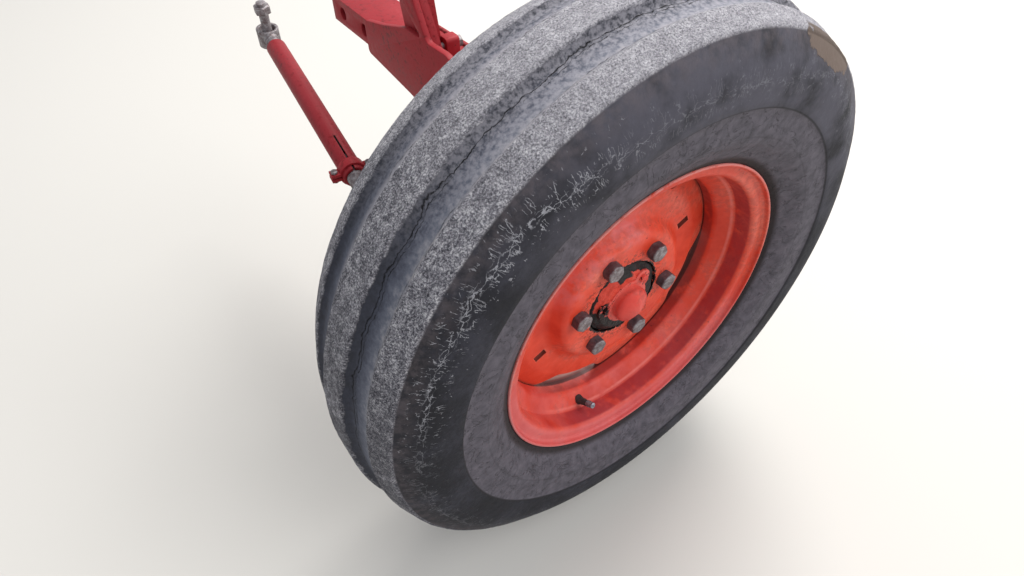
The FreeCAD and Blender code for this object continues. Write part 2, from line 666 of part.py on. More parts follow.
def stud_shape():
    """Ball at the origin, shank upwards and its nut above the eye."""
    top = ARM_LIFT + ARM_THICK
    shank = Part.makeCylinder(STUD_RADIUS, top + STUD_NUT_HIGH + STUD_PROUD)
    nut = hexagon(STUD_NUT_ACROSS, STUD_NUT_HIGH, Vector(0, 0, top), AXIS_Z)
    return shank.multiFuse([Part.makeSphere(BALL_RADIUS), nut])


def on_stud(shape):
    """Moves a piece drawn about +Z from the ball's centre onto the stud, parallel to the kingpin."""
    shape.translate(Vector(STUD_X, STUD_Y - KINGPIN_Y, BALL_LIFT))
    return on_kingpin(shape)


def along_rod(shape):
    """Moves a piece drawn along +X onto the tie rod's line, which starts at the arm's ball."""
    shape.rotate(CENTRE, AXIS_Y, -ROD_RISE)
    shape.rotate(CENTRE, AXIS_Z, 90.0 - ROD_FORWARD)
    shape.translate(on_stud(Part.Vertex(0, 0, 0)).Point)
    return shape


def ball_end(bare):
    """Ball housing square to the threaded shank, which screws into the tube."""
    high = BALL_HOUSING_TOP - BALL_HOUSING_FOOT
    housing = Part.makeCylinder(BALL_HOUSING_RADIUS, high, Vector(0, 0, BALL_HOUSING_FOOT))
    shank = Part.makeCylinder(ROD_SHANK_RADIUS, bare + ROD_SHANK_INSIDE, CENTRE, AXIS_X)
    return housing.fuse(shank).cut(Part.makeSphere(BALL_RADIUS + BALL_GAP))


def throat():
    """Opening in a ball housing's top, in which the stud swings."""
    return Part.makeCone(STUD_RADIUS, BOOT_FOOT_RADIUS, THROAT_SLOPE * BALL_HOUSING_TOP)


def make_rod_end():
    return along_rod(ball_end(ROD_SHANK_BARE)).cut(on_stud(throat()))


def inner_end(shape):
    """Turns a piece of a ball end round, and moves it to the tie rod's inner ball."""
    shape.rotate(CENTRE, AXIS_Z, 180.0)
    shape.translate(Vector(ROD_INNER_BALL, 0, 0))
    return along_rod(shape)


def make_inner_rod_end():
    bare = INNER_SHANK_BARE + BALL_HOUSING_RADIUS
    return inner_end(ball_end(bare).cut(throat()))


def make_boot():
    """Rubber boot lofted from the housing's top to the underside of the arm's eye."""
    foot = along_rod(Part.Wire(Part.makeCircle(BOOT_FOOT_RADIUS, Vector(0, 0, BALL_HOUSING_TOP))))
    waist_at = (BALL_HOUSING_TOP + ARM_LIFT) / 2
    waist = on_stud(Part.Wire(Part.makeCircle(BOOT_WAIST_RADIUS, Vector(0, 0, waist_at))))
    top = on_stud(Part.Wire(Part.makeCircle(BOOT_TOP_RADIUS, Vector(0, 0, ARM_LIFT - SEAL_GAP))))
    boot = Part.makeLoft([foot, waist, top], True, True)
    stud = on_stud(Part.makeCylinder(STUD_RADIUS + SEAL_GAP, 2 * ARM_LIFT))
    hollow_high = ARM_LIFT - BALL_HOUSING_TOP + BOOT_WALL
    hollow_at = Vector(0, 0, BALL_HOUSING_TOP - 2 * BOOT_WALL)
    hollow = Part.makeCone(BOOT_FOOT_RADIUS - BOOT_WALL, STUD_RADIUS, hollow_high, hollow_at)
    return boot.cut([stud, on_stud(hollow)])


def make_rod_tube():
    start = Vector(ROD_SHANK_BARE, 0, 0)
    body = Part.makeCylinder(ROD_TUBE_RADIUS, ROD_TUBE_LENGTH, start, AXIS_X)
    bore = Part.makeCylinder(ROD_SHANK_RADIUS + ROD_SHANK_GAP, ROD_TUBE_LENGTH, start, AXIS_X)
    slit = Part.makeBox(ROD_SLIT_LONG, ROD_SLIT_WIDE, 2 * ROD_TUBE_RADIUS, start - AXIS_Y * (ROD_SLIT_WIDE / 2))
    return along_rod(body.cut([bore, slit]))


def clamp_ear_middle():
    """How far beside the tube's line the clamp's bolts are."""
    return ROD_TUBE_RADIUS + CLAMP_WALL + CLAMP_EAR / 2


def make_clamp():
    """Two half rings round the tube's slit end, with flat ears beside it."""
    start = Vector(ROD_SHANK_BARE + CLAMP_SETBACK, 0, 0)
    ring = Part.makeCylinder(ROD_TUBE_RADIUS + CLAMP_WALL, CLAMP_WIDE, start, AXIS_X)
    reach = ROD_TUBE_RADIUS + CLAMP_WALL + CLAMP_EAR
    ears = Part.makeBox(CLAMP_WIDE, 2 * reach, 2 * CLAMP_EAR_HALF, start - Vector(0, reach, CLAMP_EAR_HALF))
    gap = Part.makeBox(CLAMP_WIDE, 2 * reach, ROD_SLIT_WIDE, start - Vector(0, reach, ROD_SLIT_WIDE / 2))
    cuts = [drill(ROD_TUBE_RADIUS, start, AXIS_X), gap]
    for side in (-1, 1):
        middle = start + Vector(CLAMP_WIDE / 2, side * clamp_ear_middle(), 0)
        cuts.append(drill(CLAMP_BOLT_RADIUS, middle, AXIS_Z))
    return along_rod(ring.fuse(ears).cut(cuts))


def make_clamp_bolts():
    bolts = []
    shank_long = 2 * (CLAMP_EAR_HALF + CLAMP_BOLT_HIGH)
    for side in (-1, 1):
        foot = Vector(ROD_SHANK_BARE + CLAMP_SETBACK + CLAMP_WIDE / 2, side * clamp_ear_middle(), 0)
        top = foot + AXIS_Z * CLAMP_EAR_HALF
        bottom = foot - AXIS_Z * CLAMP_EAR_HALF
        head = hexagon(CLAMP_BOLT_ACROSS, CLAMP_BOLT_HIGH, top, AXIS_Z)
        nut = hexagon(CLAMP_BOLT_ACROSS, CLAMP_BOLT_HIGH, bottom, -AXIS_Z)
        shank = Part.makeCylinder(CLAMP_BOLT_RADIUS, shank_long, foot - AXIS_Z * (shank_long / 2))
        bolts.append(along_rod(shank.multiFuse([head, nut])))
    return bolts


def axle_start():
    """Where the kingpin's line crosses the height of the beam's middle."""
    return Vector(0, KINGPIN_Y + BEAM_Z * math.tan(math.radians(KINGPIN_LEAN)), BEAM_Z)


def side_plate(corners, x, thick):
    """Plate square to X, from an outline as distance inboard of the kingpin, height and radius."""
    start = axle_start()
    wire = rounded_wire(corners, lambda p: Vector(x, start.y + p.x, start.z + p.y))
    return Part.Face(wire).extrude(AXIS_X * thick)


def make_beam():
    """Box beam, coped round the kingpin housing, with two bolt holes through its sides."""
    start = axle_start() + Vector(0, BEAM_COPE, 0)
    length = BEAM_END - start.y
    body = Part.makeBox(BEAM_WIDE, length, BEAM_HIGH, start - Vector(BEAM_WIDE / 2, 0, BEAM_HIGH / 2))
    wide, high = BEAM_WIDE - 2 * BEAM_WALL, BEAM_HIGH - 2 * BEAM_WALL
    inside = Part.makeBox(wide, length, high, start - Vector(wide / 2, 0, high / 2))
    cuts = [inside, on_kingpin(drill(HOUSING_RADIUS, CENTRE, AXIS_Z))]
    for side in (-0.5, 0.5):
        at = Vector(0, BEAM_BOLT_Y + side * BEAM_BOLT_PITCH, BEAM_Z)
        cuts.append(drill(BEAM_BOLT_HOLE, at, AXIS_X))
    return body.cut(cuts)


def stay_hole():
    """Cutter for the hole through the horn and the post."""
    return drill(STAY_HOLE_RADIUS, axle_start() + Vector(0, STAY_HOLE_INBOARD, STAY_HOLE_HIGH), AXIS_X)


def make_rear_cheek():
    outline = CHEEK_LOWER_EDGE + REAR_CHEEK_TOP + HORN_HEAD + REAR_CHEEK_END
    return side_plate(outline, -BEAM_WIDE / 2, -CHEEK_PLATE).cut(stay_hole())


def make_front_cheek():
    return side_plate(CHEEK_LOWER_EDGE + FRONT_CHEEK_TOP, BEAM_WIDE / 2, CHEEK_PLATE)


def make_post():
    """Post on the beam: a leaf that follows the cheek's horn, and a steeper one in front of it."""
    head_in, head_out = HORN_HEAD
    outline = [(POST_FOOT_OUT, BEAM_TOP, 0.0), (POST_FOOT_IN, BEAM_TOP, 0.0), head_in, head_out]
    leaf = side_plate(outline, -BEAM_WIDE / 2, POST_LEAF)
    back_foot = head_out[0] - BACK_LEAF_SLOPE * (head_out[1] - BEAM_TOP)
    outline = [(back_foot, BEAM_TOP, 0.0), (POST_FOOT_IN, BEAM_TOP, 0.0), head_in, head_out]
    back = side_plate(outline, -BEAM_WIDE / 2 + POST_LEAF, BACK_LEAF)
    return leaf.fuse(back).cut([stay_hole(), lug_bolt_hole()])


def lug_bolt_line():
    """Where the lug's bolt leaves its front face."""
    x = -BEAM_WIDE / 2 + POST_LEAF + BACK_LEAF + LUG_DEEP
    return axle_start() + Vector(x, LUG_INBOARD + LUG_WIDE / 2, BEAM_TOP + LUG_BOLT_UP)


def lug_bolt_hole():
    return drill(LUG_BOLT_RADIUS, lug_bolt_line(), AXIS_X)


def make_lug():
    low, high = LUG_INBOARD, LUG_INBOARD + LUG_WIDE
    outline = [
        (low, BEAM_TOP, 0.0),
        (high, BEAM_TOP, 0.0),
        (high, BEAM_TOP + LUG_HIGH, LUG_EDGE),
        (low, BEAM_TOP + LUG_HIGH, LUG_EDGE),
    ]
    return side_plate(outline, lug_bolt_line().x - LUG_DEEP, LUG_DEEP).cut(lug_bolt_hole())


def make_lug_bolt():
    shank = Part.makeCylinder(LUG_BOLT_RADIUS, LUG_BOLT_DEPTH, lug_bolt_line(), -AXIS_X)
    return shank.fuse(hexagon(LUG_BOLT_ACROSS, LUG_BOLT_HIGH, lug_bolt_line(), AXIS_X))


def make_bearing(bore_radius, outer, start, length):
    return ring_about_axle(bore_radius + RUNNING_GAP, outer, start, start + length - BEARING_SIDE_GAP)


def main():
    os.makedirs("parts", exist_ok=True)
    put("tyre", make_tyre())
    put("rim", make_rim())
    put("wheel_disc", make_disc())
    put("wheel_bolts", *make_wheel_bolts())
    put("valve_stem", make_valve())
    put("hub", make_hub())
    put("hub_cap", make_hub_cap())
    put("cap_bolts", *make_cap_bolts())
    put("inner_bearing", make_bearing(STUB_IN_RADIUS, BEARING_IN_RADIUS, BEARING_IN_START, BEARING_IN_LENGTH))
    put("outer_bearing", make_bearing(STUB_OUT_RADIUS, BEARING_OUT_RADIUS, BEARING_OUT_START, BEARING_OUT_LENGTH))
    seal_at = HUB_INNER_END - SEAL_LENGTH
    put("hub_seal", ring_about_axle(STUB_SEAL_RADIUS + SEAL_GAP, BEARING_IN_RADIUS, seal_at, HUB_INNER_END))
    put("knuckle", make_knuckle())
    put("kingpin", make_kingpin())
    put("kingpin_nut", make_kingpin_nut())
    washer = tube(KINGPIN_WASHER_RADIUS, KINGPIN_RADIUS, HOUSING_TOP + FACE_GAP, HOUSING_TOP + KINGPIN_WASHER)
    put("kingpin_washer", on_kingpin(washer))
    thrust = tube(THRUST_RADIUS, KINGPIN_RADIUS, HOUSING_FOOT - THRUST_THICK, HOUSING_FOOT - FACE_GAP)
    put("thrust_washer", on_kingpin(thrust))
    put("kingpin_housing", on_kingpin(tube(HOUSING_RADIUS, HOUSING_BORE, HOUSING_FOOT, HOUSING_TOP)))
    put("kingpin_bushes", *make_bushes())
    put("steering_arm", make_steering_arm())
    put("ball_stud", on_stud(stud_shape()))
    put("axle_beam", make_beam())
    put("rear_cheek", make_rear_cheek())
    put("front_cheek", make_front_cheek())
    put("stay_post", make_post())
    put("beam_lug", make_lug())
    put("lug_bolt", make_lug_bolt())
    put("rod_end", make_rod_end())
    put("rod_boot", make_boot())
    put("rod_tube", make_rod_tube())
    put("rod_clamp", make_clamp())
    put("clamp_bolts", *make_clamp_bolts())
    put("inner_rod_end", make_inner_rod_end())
    put("inner_ball_stud", inner_end(stud_shape()))


main()
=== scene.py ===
"""Right front wheel of a farm tractor with its knuckle, axle end and tie rod: finishes and fine shapes.

Metres in the frame's axes, +X forward, +Y inboard, +Z up. Sections of round pieces are given in
millimetres about the wheel's centre, as (inboard, radius, rounding), and so are masks of materials.
"""
import json
import math

import bmesh
import bpy
from mathutils import Matrix, Vector, noise

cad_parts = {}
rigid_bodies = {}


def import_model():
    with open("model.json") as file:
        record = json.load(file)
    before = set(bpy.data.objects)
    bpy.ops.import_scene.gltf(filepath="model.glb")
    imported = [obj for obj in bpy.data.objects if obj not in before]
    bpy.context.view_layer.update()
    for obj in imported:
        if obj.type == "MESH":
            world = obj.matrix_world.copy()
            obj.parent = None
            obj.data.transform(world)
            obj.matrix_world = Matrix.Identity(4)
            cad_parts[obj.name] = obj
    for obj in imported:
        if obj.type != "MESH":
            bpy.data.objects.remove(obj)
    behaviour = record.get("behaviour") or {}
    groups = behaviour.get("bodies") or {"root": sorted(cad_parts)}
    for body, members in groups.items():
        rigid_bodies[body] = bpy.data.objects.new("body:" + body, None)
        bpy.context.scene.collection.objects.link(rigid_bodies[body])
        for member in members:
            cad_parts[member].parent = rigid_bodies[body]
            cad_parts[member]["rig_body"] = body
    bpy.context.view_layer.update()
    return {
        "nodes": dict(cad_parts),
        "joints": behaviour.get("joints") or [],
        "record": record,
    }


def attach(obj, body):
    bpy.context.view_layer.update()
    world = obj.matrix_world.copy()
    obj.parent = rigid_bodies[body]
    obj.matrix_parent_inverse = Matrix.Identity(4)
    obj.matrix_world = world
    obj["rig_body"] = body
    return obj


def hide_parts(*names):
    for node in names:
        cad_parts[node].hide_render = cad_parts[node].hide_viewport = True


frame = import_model()
nodes = frame["nodes"]
joints = {joint["name"]: joint for joint in frame["joints"]}
slots = {part["node"]: part["material_slot"] for part in frame["record"]["subparts"]}

# Camera, floor and light. The wheel is seen from behind and above, as someone who walks past it
# looks down at it. The floor is pale and plain. A large soft lamp stands ahead of the wheel on the
# tractor's side, so the tread is lit and the outer wall lies in the even light of the sky.
MM = 0.001
WHEEL = Vector(joints["wheel_spin"]["pos_m"])
EYE_FROM_WHEEL = Vector((-0.4671, -0.4273, 0.6270))
LOOK = Vector((0.40978, 0.56462, -0.71644))
PHOTO_WIDTH = 1024
FOCAL_PIXELS = 652.0
SENSOR_MM = 36.0
NEAREST_SEEN = 0.05
TYRE_RADIUS = 394.0
FLOOR_SIZE = 40.0
SKY_LIGHT = 0.66
SKY_SEEN = 0.8
LAMPS = [  # place seen from the wheel, size, watts, colour
    ((3.4, 2.0, 4.6), 3.6, 450.0, (1.0, 0.98, 0.95)),
    ((3.0, -3.4, 3.8), 4.0, 200.0, (1.0, 0.99, 0.98)),
    ((-3.4, -3.0, 4.4), 4.8, 40.0, (0.95, 0.97, 1.0)),
]


def colour(code):
    """An sRGB hex code as the linear colour that a shader takes."""
    parts = [int(code[i:i + 2], 16) / 255 for i in (0, 2, 4)]
    return [p / 12.92 if p <= 0.04045 else ((p + 0.055) / 1.055) ** 2.4 for p in parts] + [1.0]


def new_material(name):
    material = bpy.data.materials.new(name)
    material.use_nodes = True
    return material, material.node_tree, material.node_tree.nodes["Principled BSDF"]


def add(tree, kind, inputs, out=0, ramp=(), **settings):
    """Adds a shader node with its settings, its inputs' values or links and its ramp's stops.
    Returns one of its outputs."""
    made = tree.nodes.new("ShaderNode" + kind)
    for name, value in settings.items():
        setattr(made, name, value)
    for name, value in inputs.items():
        if isinstance(value, bpy.types.NodeSocket):
            tree.links.new(value, made.inputs[name])
        else:
            made.inputs[name].default_value = value
    # A new ramp has two stops, which become the first and the last
    for index, (place, code) in enumerate(ramp[:1] + ramp[-1:] + ramp[1:-1]):
        stops = made.color_ramp.elements
        stop = stops[index] if index < 2 else stops.new(place)
        stop.position = place
        stop.color = colour(code)
    return made.outputs[out]


def any_of(tree, first, *others):
    """Several masks together: 1 where at least one of them is 1."""
    for other in others:
        first = add(tree, "Math", {0: first, 1: other}, operation="MAXIMUM")
    return first


def stand_at(thing, offset, look):
    """Puts a camera or a lamp at an offset from the wheel and turns it to look along a direction."""
    aim = look.to_track_quat("-Z", "Y").to_matrix().to_4x4()
    thing.matrix_world = Matrix.Translation(WHEEL + offset) @ aim
    bpy.context.scene.collection.objects.link(thing)


camera = bpy.data.objects.new("camera", bpy.data.cameras.new("camera"))
camera.data.sensor_width = SENSOR_MM
camera.data.lens = FOCAL_PIXELS * SENSOR_MM / PHOTO_WIDTH
camera.data.clip_start = NEAREST_SEEN
stand_at(camera, EYE_FROM_WHEEL, LOOK)
bpy.context.scene.camera = camera
bpy.context.scene.view_settings.view_transform = "Standard"

for index, (place, size, watts, tint) in enumerate(LAMPS):
    lamp = bpy.data.lights.new(f"lamp_{index}", "AREA")
    lamp.size = size
    lamp.energy = watts
    lamp.color = tint
    stand_at(bpy.data.objects.new(lamp.name, lamp), Vector(place), -Vector(place))

world = bpy.data.worlds.new("even_sky")
world.use_nodes = True
sky = world.node_tree.nodes["Background"]
sky.inputs["Color"].default_value = colour("EDF1F6")
rays = add(world.node_tree, "LightPath", {}).node.outputs
seen = any_of(world.node_tree, rays["Is Camera Ray"], rays["Is Glossy Ray"], rays["Is Transmission Ray"])
seen = add(world.node_tree, "MapRange", {"Value": seen, "To Min": SKY_LIGHT, "To Max": SKY_SEEN})
world.node_tree.links.new(seen, sky.inputs["Strength"])
bpy.context.scene.world = world

floor_paint, _, shader = new_material("matt_floor_paint")
shader.inputs["Base Color"].default_value = colour("C8C5C0")
shader.inputs["Roughness"].default_value = 0.9
shape = bmesh.new()
bmesh.ops.create_grid(shape, x_segments=1, y_segments=1, size=FLOOR_SIZE)
bmesh.ops.translate(shape, verts=shape.verts, vec=WHEEL - Vector((0, 0, TYRE_RADIUS * MM)))
floor = bpy.data.objects.new("floor", bpy.data.meshes.new("floor"))
shape.to_mesh(floor.data)
shape.free()
floor.data.materials.append(floor_paint)
bpy.context.scene.collection.objects.link(floor)

# Tyre: a 7.50-16 front tyre with three ribs, moulded natural rubber over a cord carcass. Its ribs
# are torn rough by gravel, its grooves are smooth and cracked with age, its outer wall is scuffed
# in an arc and has a rubbing of dried mud, and a dusty ring surrounds the rim.
TYRE_SECTION = [
    (0.0, 394.0, 0), (19.8, 394.0, 3), (26.0, 383.0, 4), (52.0, 379.5, 4), (59.0, 384.5, 3),
    (85.3, 373.7, 5), (105.0, 335.7, 60), (105.0, 297.7, 0), (103.4, 296.1, 0), (102.0, 259.6, 40),
    (79.9, 221.5, 0), (69.85, 221.5, 9), (69.85, 202.8, 5), (55.85, 201.6, 3), (58.85, 232.0, 9),
    (94.0, 283.5, 35), (94.0, 335.0, 35), (45.0, 370.0, 17), (0.0, 370.0, 0),
]
TYRE_TURN = 412
RIB_CELL = 4.4
WALL_CELL = 10.0
INNER_CELL = 24.0
ROUND_STEPS = 5
TREAD_FLOOR = 372.0
TREAD_HALF_WIDE = 92.0
INNER_HALF_WIDE = 100.0
INNER_WALL = (235.0, 371.0)
GROOVE = (18.0, 60.0)
GROOVE_PITCH = 78.0
RING_LINE = 297.7
INNER_LINE = (262.0, 264.0)
BEAD_DIRT = 231.0
SKYWARD = (0.35, 0, 0.94)
RIB_SHADE_SIDE = (-0.6, 0, -0.8)
CENTRE_RIB = 24.0
SHOULDER_RIB = 55.5
SHOULDER_FOOT = 367.0
TORN_FADE = 3.0
SHOULDER_FADE = 5.0
TORN_AWAY = 0.25
TORN_LUMPS = ((7.0, 0.34), (3.4, 0.30))
CRACK_JAG = 6.0
CRACKS = ((-28.0, 24.0, 0.8), (-32.0, 28.0, 0.5), (-53.0, 12.0, 0.6), (33.0, 30.0, 0.5))  # place, sway, width
SCUFF_RADIUS = 347.0
SCUFF_SWAY = 15.0
SCUFF_DROP = 22.0
SCUFF_REACH = 350.0
SCUFF_TOWARDS = Vector((-0.766, 0, 0.643))
SCUFFS = (  # squeeze, cell, width of a hair, width of the band, size of patches, their limit, bow
    ((0.3, 1, 0.3), 4.5, 0.035, 3.5, 15.0, 0.42, 12.0),
    ((1, 0.16, 1), 4.0, 0.03, 17.0, 11.0, 0.54, 7.0),
    ((0.8, 0.3, 0.8), 9.0, 0.012, 30.0, 7.0, 0.6, 10.0),
)
MUD_TOWARDS = Vector((0.545, 0, 0.839))
MUD_ACROSS = Vector((0.839, 0, -0.545))
MUD_HALF_ANGLE = 0.17
MUD_RADIUS = 368.0
MUD_HALF_WIDE = 17.0


def product(tree, first, *others):
    """Several masks together: 1 only where all are 1."""
    for other in others:
        first = add(tree, "Math", {0: first, 1: other}, operation="MULTIPLY")
    return first


def over(tree, value, least, fade):
    """1 where a value is over a limit, 0 under it, and soft over the fade's width."""
    limits = {"Value": value, "From Min": least - fade / 2, "From Max": least + fade / 2}
    return add(tree, "MapRange", limits, interpolation_type="SMOOTHSTEP")


def under(tree, value, most, fade):
    """1 where a value is under a limit, 0 over it, and soft over the fade's width."""
    limits = {"Value": value, "From Min": most + fade / 2, "From Max": most - fade / 2}
    return add(tree, "MapRange", limits, interpolation_type="SMOOTHSTEP")


def within(tree, value, low, high, fade):
    """1 where a value is between two limits, 0 outside them, and soft over the fade's width."""
    return product(tree, over(tree, value, low, fade), under(tree, value, high, fade))


def facing(tree, way, direction, least, fade):
    """1 on the part of the wheel that lies in a direction from the axle, from a least cosine on."""
    cosine = add(tree, "VectorMath", {0: way, 1: direction}, out="Value", operation="DOT_PRODUCT")
    return over(tree, cosine, least, fade)


def grain(tree, place, size_mm, detail=4.0, roughness=0.6, distortion=0.0):
    """Cloudy noise whose largest grains have a given size."""
    settings = {"Vector": place, "Scale": 1 / (size_mm * MM), "Detail": detail, "Roughness": roughness,
                "Distortion": distortion}
    return add(tree, "TexNoise", settings)


def patches(tree, place, size_mm, least, fade, detail=4.0, roughness=0.6):
    """1 in the patches where cloudy noise is over a limit."""
    return over(tree, grain(tree, place, size_mm, detail, roughness), least, fade)


def coat(tree, shader, *coats):
    """Lays colours over the shader's present one, each with its strength where its mask is 1."""
    socket = shader.inputs["Base Color"]
    for mask, over_colour, strength in coats:
        under_colour = socket.links[0].from_socket if socket.links else list(socket.default_value)
        if isinstance(over_colour, str):
            over_colour = colour(over_colour)
        mixed = {0: product(tree, mask, strength), 6: under_colour, 7: over_colour}
        tree.links.new(add(tree, "Mix", mixed, out=2, data_type="RGBA"), socket)


def relief(tree, shader, *heights):
    """Lays bumps over the shader's present ones, each with its depth in millimetres."""
    socket = shader.inputs["Normal"]
    for height, depth in heights:
        bump = {"Height": height, "Distance": depth * MM}
        if socket.links:
            bump["Normal"] = socket.links[0].from_socket
        tree.links.new(add(tree, "Bump", bump), socket)


def about_wheel(tree):
    """Object coordinates from the wheel's centre, the way round the axle, and in millimetres the
    radius and the inboard distance."""
    place = add(tree, "TexCoord", {}, out="Object")
    centred = add(tree, "VectorMath", {0: place, 1: WHEEL}, operation="SUBTRACT")
    in_mm = add(tree, "VectorMath", {0: centred, "Scale": 1 / MM}, operation="SCALE")
    flat = add(tree, "VectorMath", {0: in_mm, 1: (1, 0, 1)}, operation="MULTIPLY")
    way = add(tree, "VectorMath", {0: flat}, operation="NORMALIZE")
    radius = add(tree, "VectorMath", {0: flat}, out="Value", operation="LENGTH")
    return centred, way, radius, add(tree, "SeparateXYZ", {0: in_mm}, out="Y")


def rounded_section(corners):
    """A section as an open wire: one vertex for each corner, and each rounding beveled into an arc."""
    wire = bmesh.new()
    verts = [wire.verts.new((0, y * MM, r * MM)) for y, r, rounding in corners]
    for first, second in zip(verts, verts[1:]):
        wire.edges.new((first, second))
    for vert, (y, r, rounding) in zip(verts, corners):
        if rounding:
            sides = [edge.other_vert(vert).co - vert.co for edge in vert.link_edges]
            run = rounding * MM / math.tan(sides[0].angle(sides[1]) / 2)
            run = min(run, 0.98 * min(side.length for side in sides))
            bmesh.ops.bevel(wire, geom=[vert], offset=run, segments=ROUND_STEPS, profile=0.5,
                            affect="VERTICES", material=-1)
    return wire


def divide(wire, cell_at):
    """Cuts a wire's edges into lengths of at most the cell, in millimetres, that holds at their middle."""
    for edge in list(wire.edges):
        middle = (edge.verts[0].co + edge.verts[1].co) / 2 / MM
        cuts = int(edge.calc_length() / MM / cell_at(abs(middle.y), middle.z))
        if cuts:
            bmesh.ops.subdivide_edges(wire, edges=[edge], cuts=cuts)


def spun(wire, steps):
    """Turns a section once round the wheel's axle and moves it to the wheel's centre."""
    bmesh.ops.spin(wire, geom=wire.verts[:] + wire.edges[:], cent=(0, 0, 0), axis=(0, 1, 0),
                   angle=2 * math.pi, steps=steps, use_merge=True)
    bmesh.ops.translate(wire, verts=wire.verts, vec=WHEEL)
    bmesh.ops.remove_doubles(wire, verts=wire.verts, dist=1e-6)
    bmesh.ops.recalc_face_normals(wire, faces=wire.faces)
    return wire


def from_wheel(vert):
    """A vertex's inboard distance and its radius about the axle, in millimetres."""
    place = (vert.co - WHEEL) / MM
    return place.y, math.hypot(place.x, place.z)


def piece(name, shape, material, body, slot, *replaced, sharp=35):
    """Makes an object of a finished shape, hangs it on its body and hides the nodes that it replaces."""
    mesh = bpy.data.meshes.new(name)
    shape.to_mesh(mesh)
    shape.free()
    mesh.materials.append(material)
    mesh.shade_smooth()
    mesh.set_sharp_from_angle(angle=math.radians(sharp))
    made = bpy.data.objects.new(name, mesh)
    bpy.context.scene.collection.objects.link(made)
    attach(made, body)
    if replaced:
        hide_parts(*replaced)
    return made


def tyre_cell(y, r):
    """Fine cells on the torn tread, coarse ones inside the carcass and middling ones on the walls."""
    if r > TREAD_FLOOR + 0.5 and y < TREAD_HALF_WIDE:
        return RIB_CELL
    return INNER_CELL if y < INNER_HALF_WIDE and INNER_WALL[0] < r < INNER_WALL[1] else WALL_CELL


tyre_rubber, tree, shader = new_material("weathered_natural_rubber")
place, way, radius, inboard = about_wheel(tree)
side = add(tree, "Math", {0: inboard}, operation="ABSOLUTE")
clouds = grain(tree, place, 60.0)
dust = grain(tree, place, 13.0, 6.0, 0.65)
mottle = grain(tree, place, 5.0, 5.0, 0.7)
grit = grain(tree, place, 1.9, 5.0, 0.8, 0.5)
# The wall is nearly black where it is clean, and browner and paler inside the moulded ring
wall = add(tree, "Math", {0: clouds, 1: 0.225}, operation="SUBTRACT")
wall = add(tree, "Math", {0: mottle, 1: 0.45, 2: wall}, operation="MULTIPLY_ADD")
wall = add(tree, "ValToRGB", {0: wall}, ramp=[(0.32, "14141A"), (0.5, "1D1D24"), (0.7, "303039")])
tree.links.new(wall, shader.inputs["Base Color"])
ring = add(tree, "ValToRGB", {0: dust}, ramp=[(0.32, "403D44"), (0.5, "514D55"), (0.7, "605B63")])
in_ring = under(tree, radius, RING_LINE - 1.0, 2.0)
at_bead = under(tree, radius, BEAD_DIRT, 8.0)
lines = any_of(tree, within(tree, radius, RING_LINE - 1.5, RING_LINE + 0.5, 1.5),
               product(tree, within(tree, radius, *INNER_LINE, 2.0), 0.3))
shoulder_dust = product(tree, within(tree, radius, 356.0, 380.0, 30.0), over(tree, dust, 0.5, 0.3))
# Dust and painted sheen: the wall is paler in cloudy patches on its side towards the sky
dust_and_sheen = product(tree, facing(tree, way, SKYWARD, 0.6, 0.6), over(tree, clouds, 0.42, 0.3))
# Across a groove the rubber goes from dark at its outboard-facing side to dusty at the other
across = add(tree, "Math", {0: product(tree, inboard, -1.0), 1: GROOVE_PITCH}, operation="FLOORED_MODULO")
across = add(tree, "MapRange", {"Value": across, "From Min": GROOVE[0], "From Max": GROOVE[1],
                                "To Min": -0.45, "To Max": 0.40})
blur = add(tree, "Math", {0: dust, 1: mottle}, operation="ADD")
across = add(tree, "Math", {0: blur, 1: 0.5, 2: across}, operation="MULTIPLY_ADD")
groove = add(tree, "ValToRGB", {0: across}, ramp=[
    (0.08, "2D2E36"), (0.28, "3B3D48"), (0.44, "4B4E5B"), (0.62, "636672"), (0.78, "86858C"), (0.95, "B4AFAE")])
on_tread = over(tree, radius, TREAD_FLOOR, 4.0)
in_groove = product(tree, within(tree, side, *GROOVE, 4.0), on_tread)
# Painted light: pale patches in the grooves on their side towards the sky
painted_groove_light = product(tree, in_groove, facing(tree, way, SKYWARD, 0.45, 0.5), over(tree, mottle, 0.48, 0.3))
beside_rib = product(tree, within(tree, inboard, 17.0, 34.0, 16.0), on_tread)
# Ribs: gravel has torn the rubber into pale shreds and dark pits, in patches
ragged = add(tree, "MapRange", {"Value": grain(tree, place, 13.0, 3.0), "To Min": -3.0, "To Max": 3.0})
ragged = add(tree, "Math", {0: side, 1: ragged}, operation="ADD")
outer_rib = product(tree, over(tree, ragged, 57.0, 2.0), over(tree, radius, 370.5, 3.0))
torn = any_of(tree, under(tree, ragged, 21.5, 1.5), outer_rib)
tear = add(tree, "Math", {0: grain(tree, place, 10.0, 3.0), 1: 0.32, 2: -0.16}, operation="MULTIPLY_ADD")
tear = add(tree, "Math", {0: grit, 1: tear}, operation="ADD")
torn_colour = add(tree, "ValToRGB", {0: tear}, ramp=[
    (0.36, "33323A"), (0.44, "54535B"), (0.50, "7C7A82"), (0.56, "A5A3A9"), (0.61, "C6C4C9"), (0.66, "E8E6E8")])
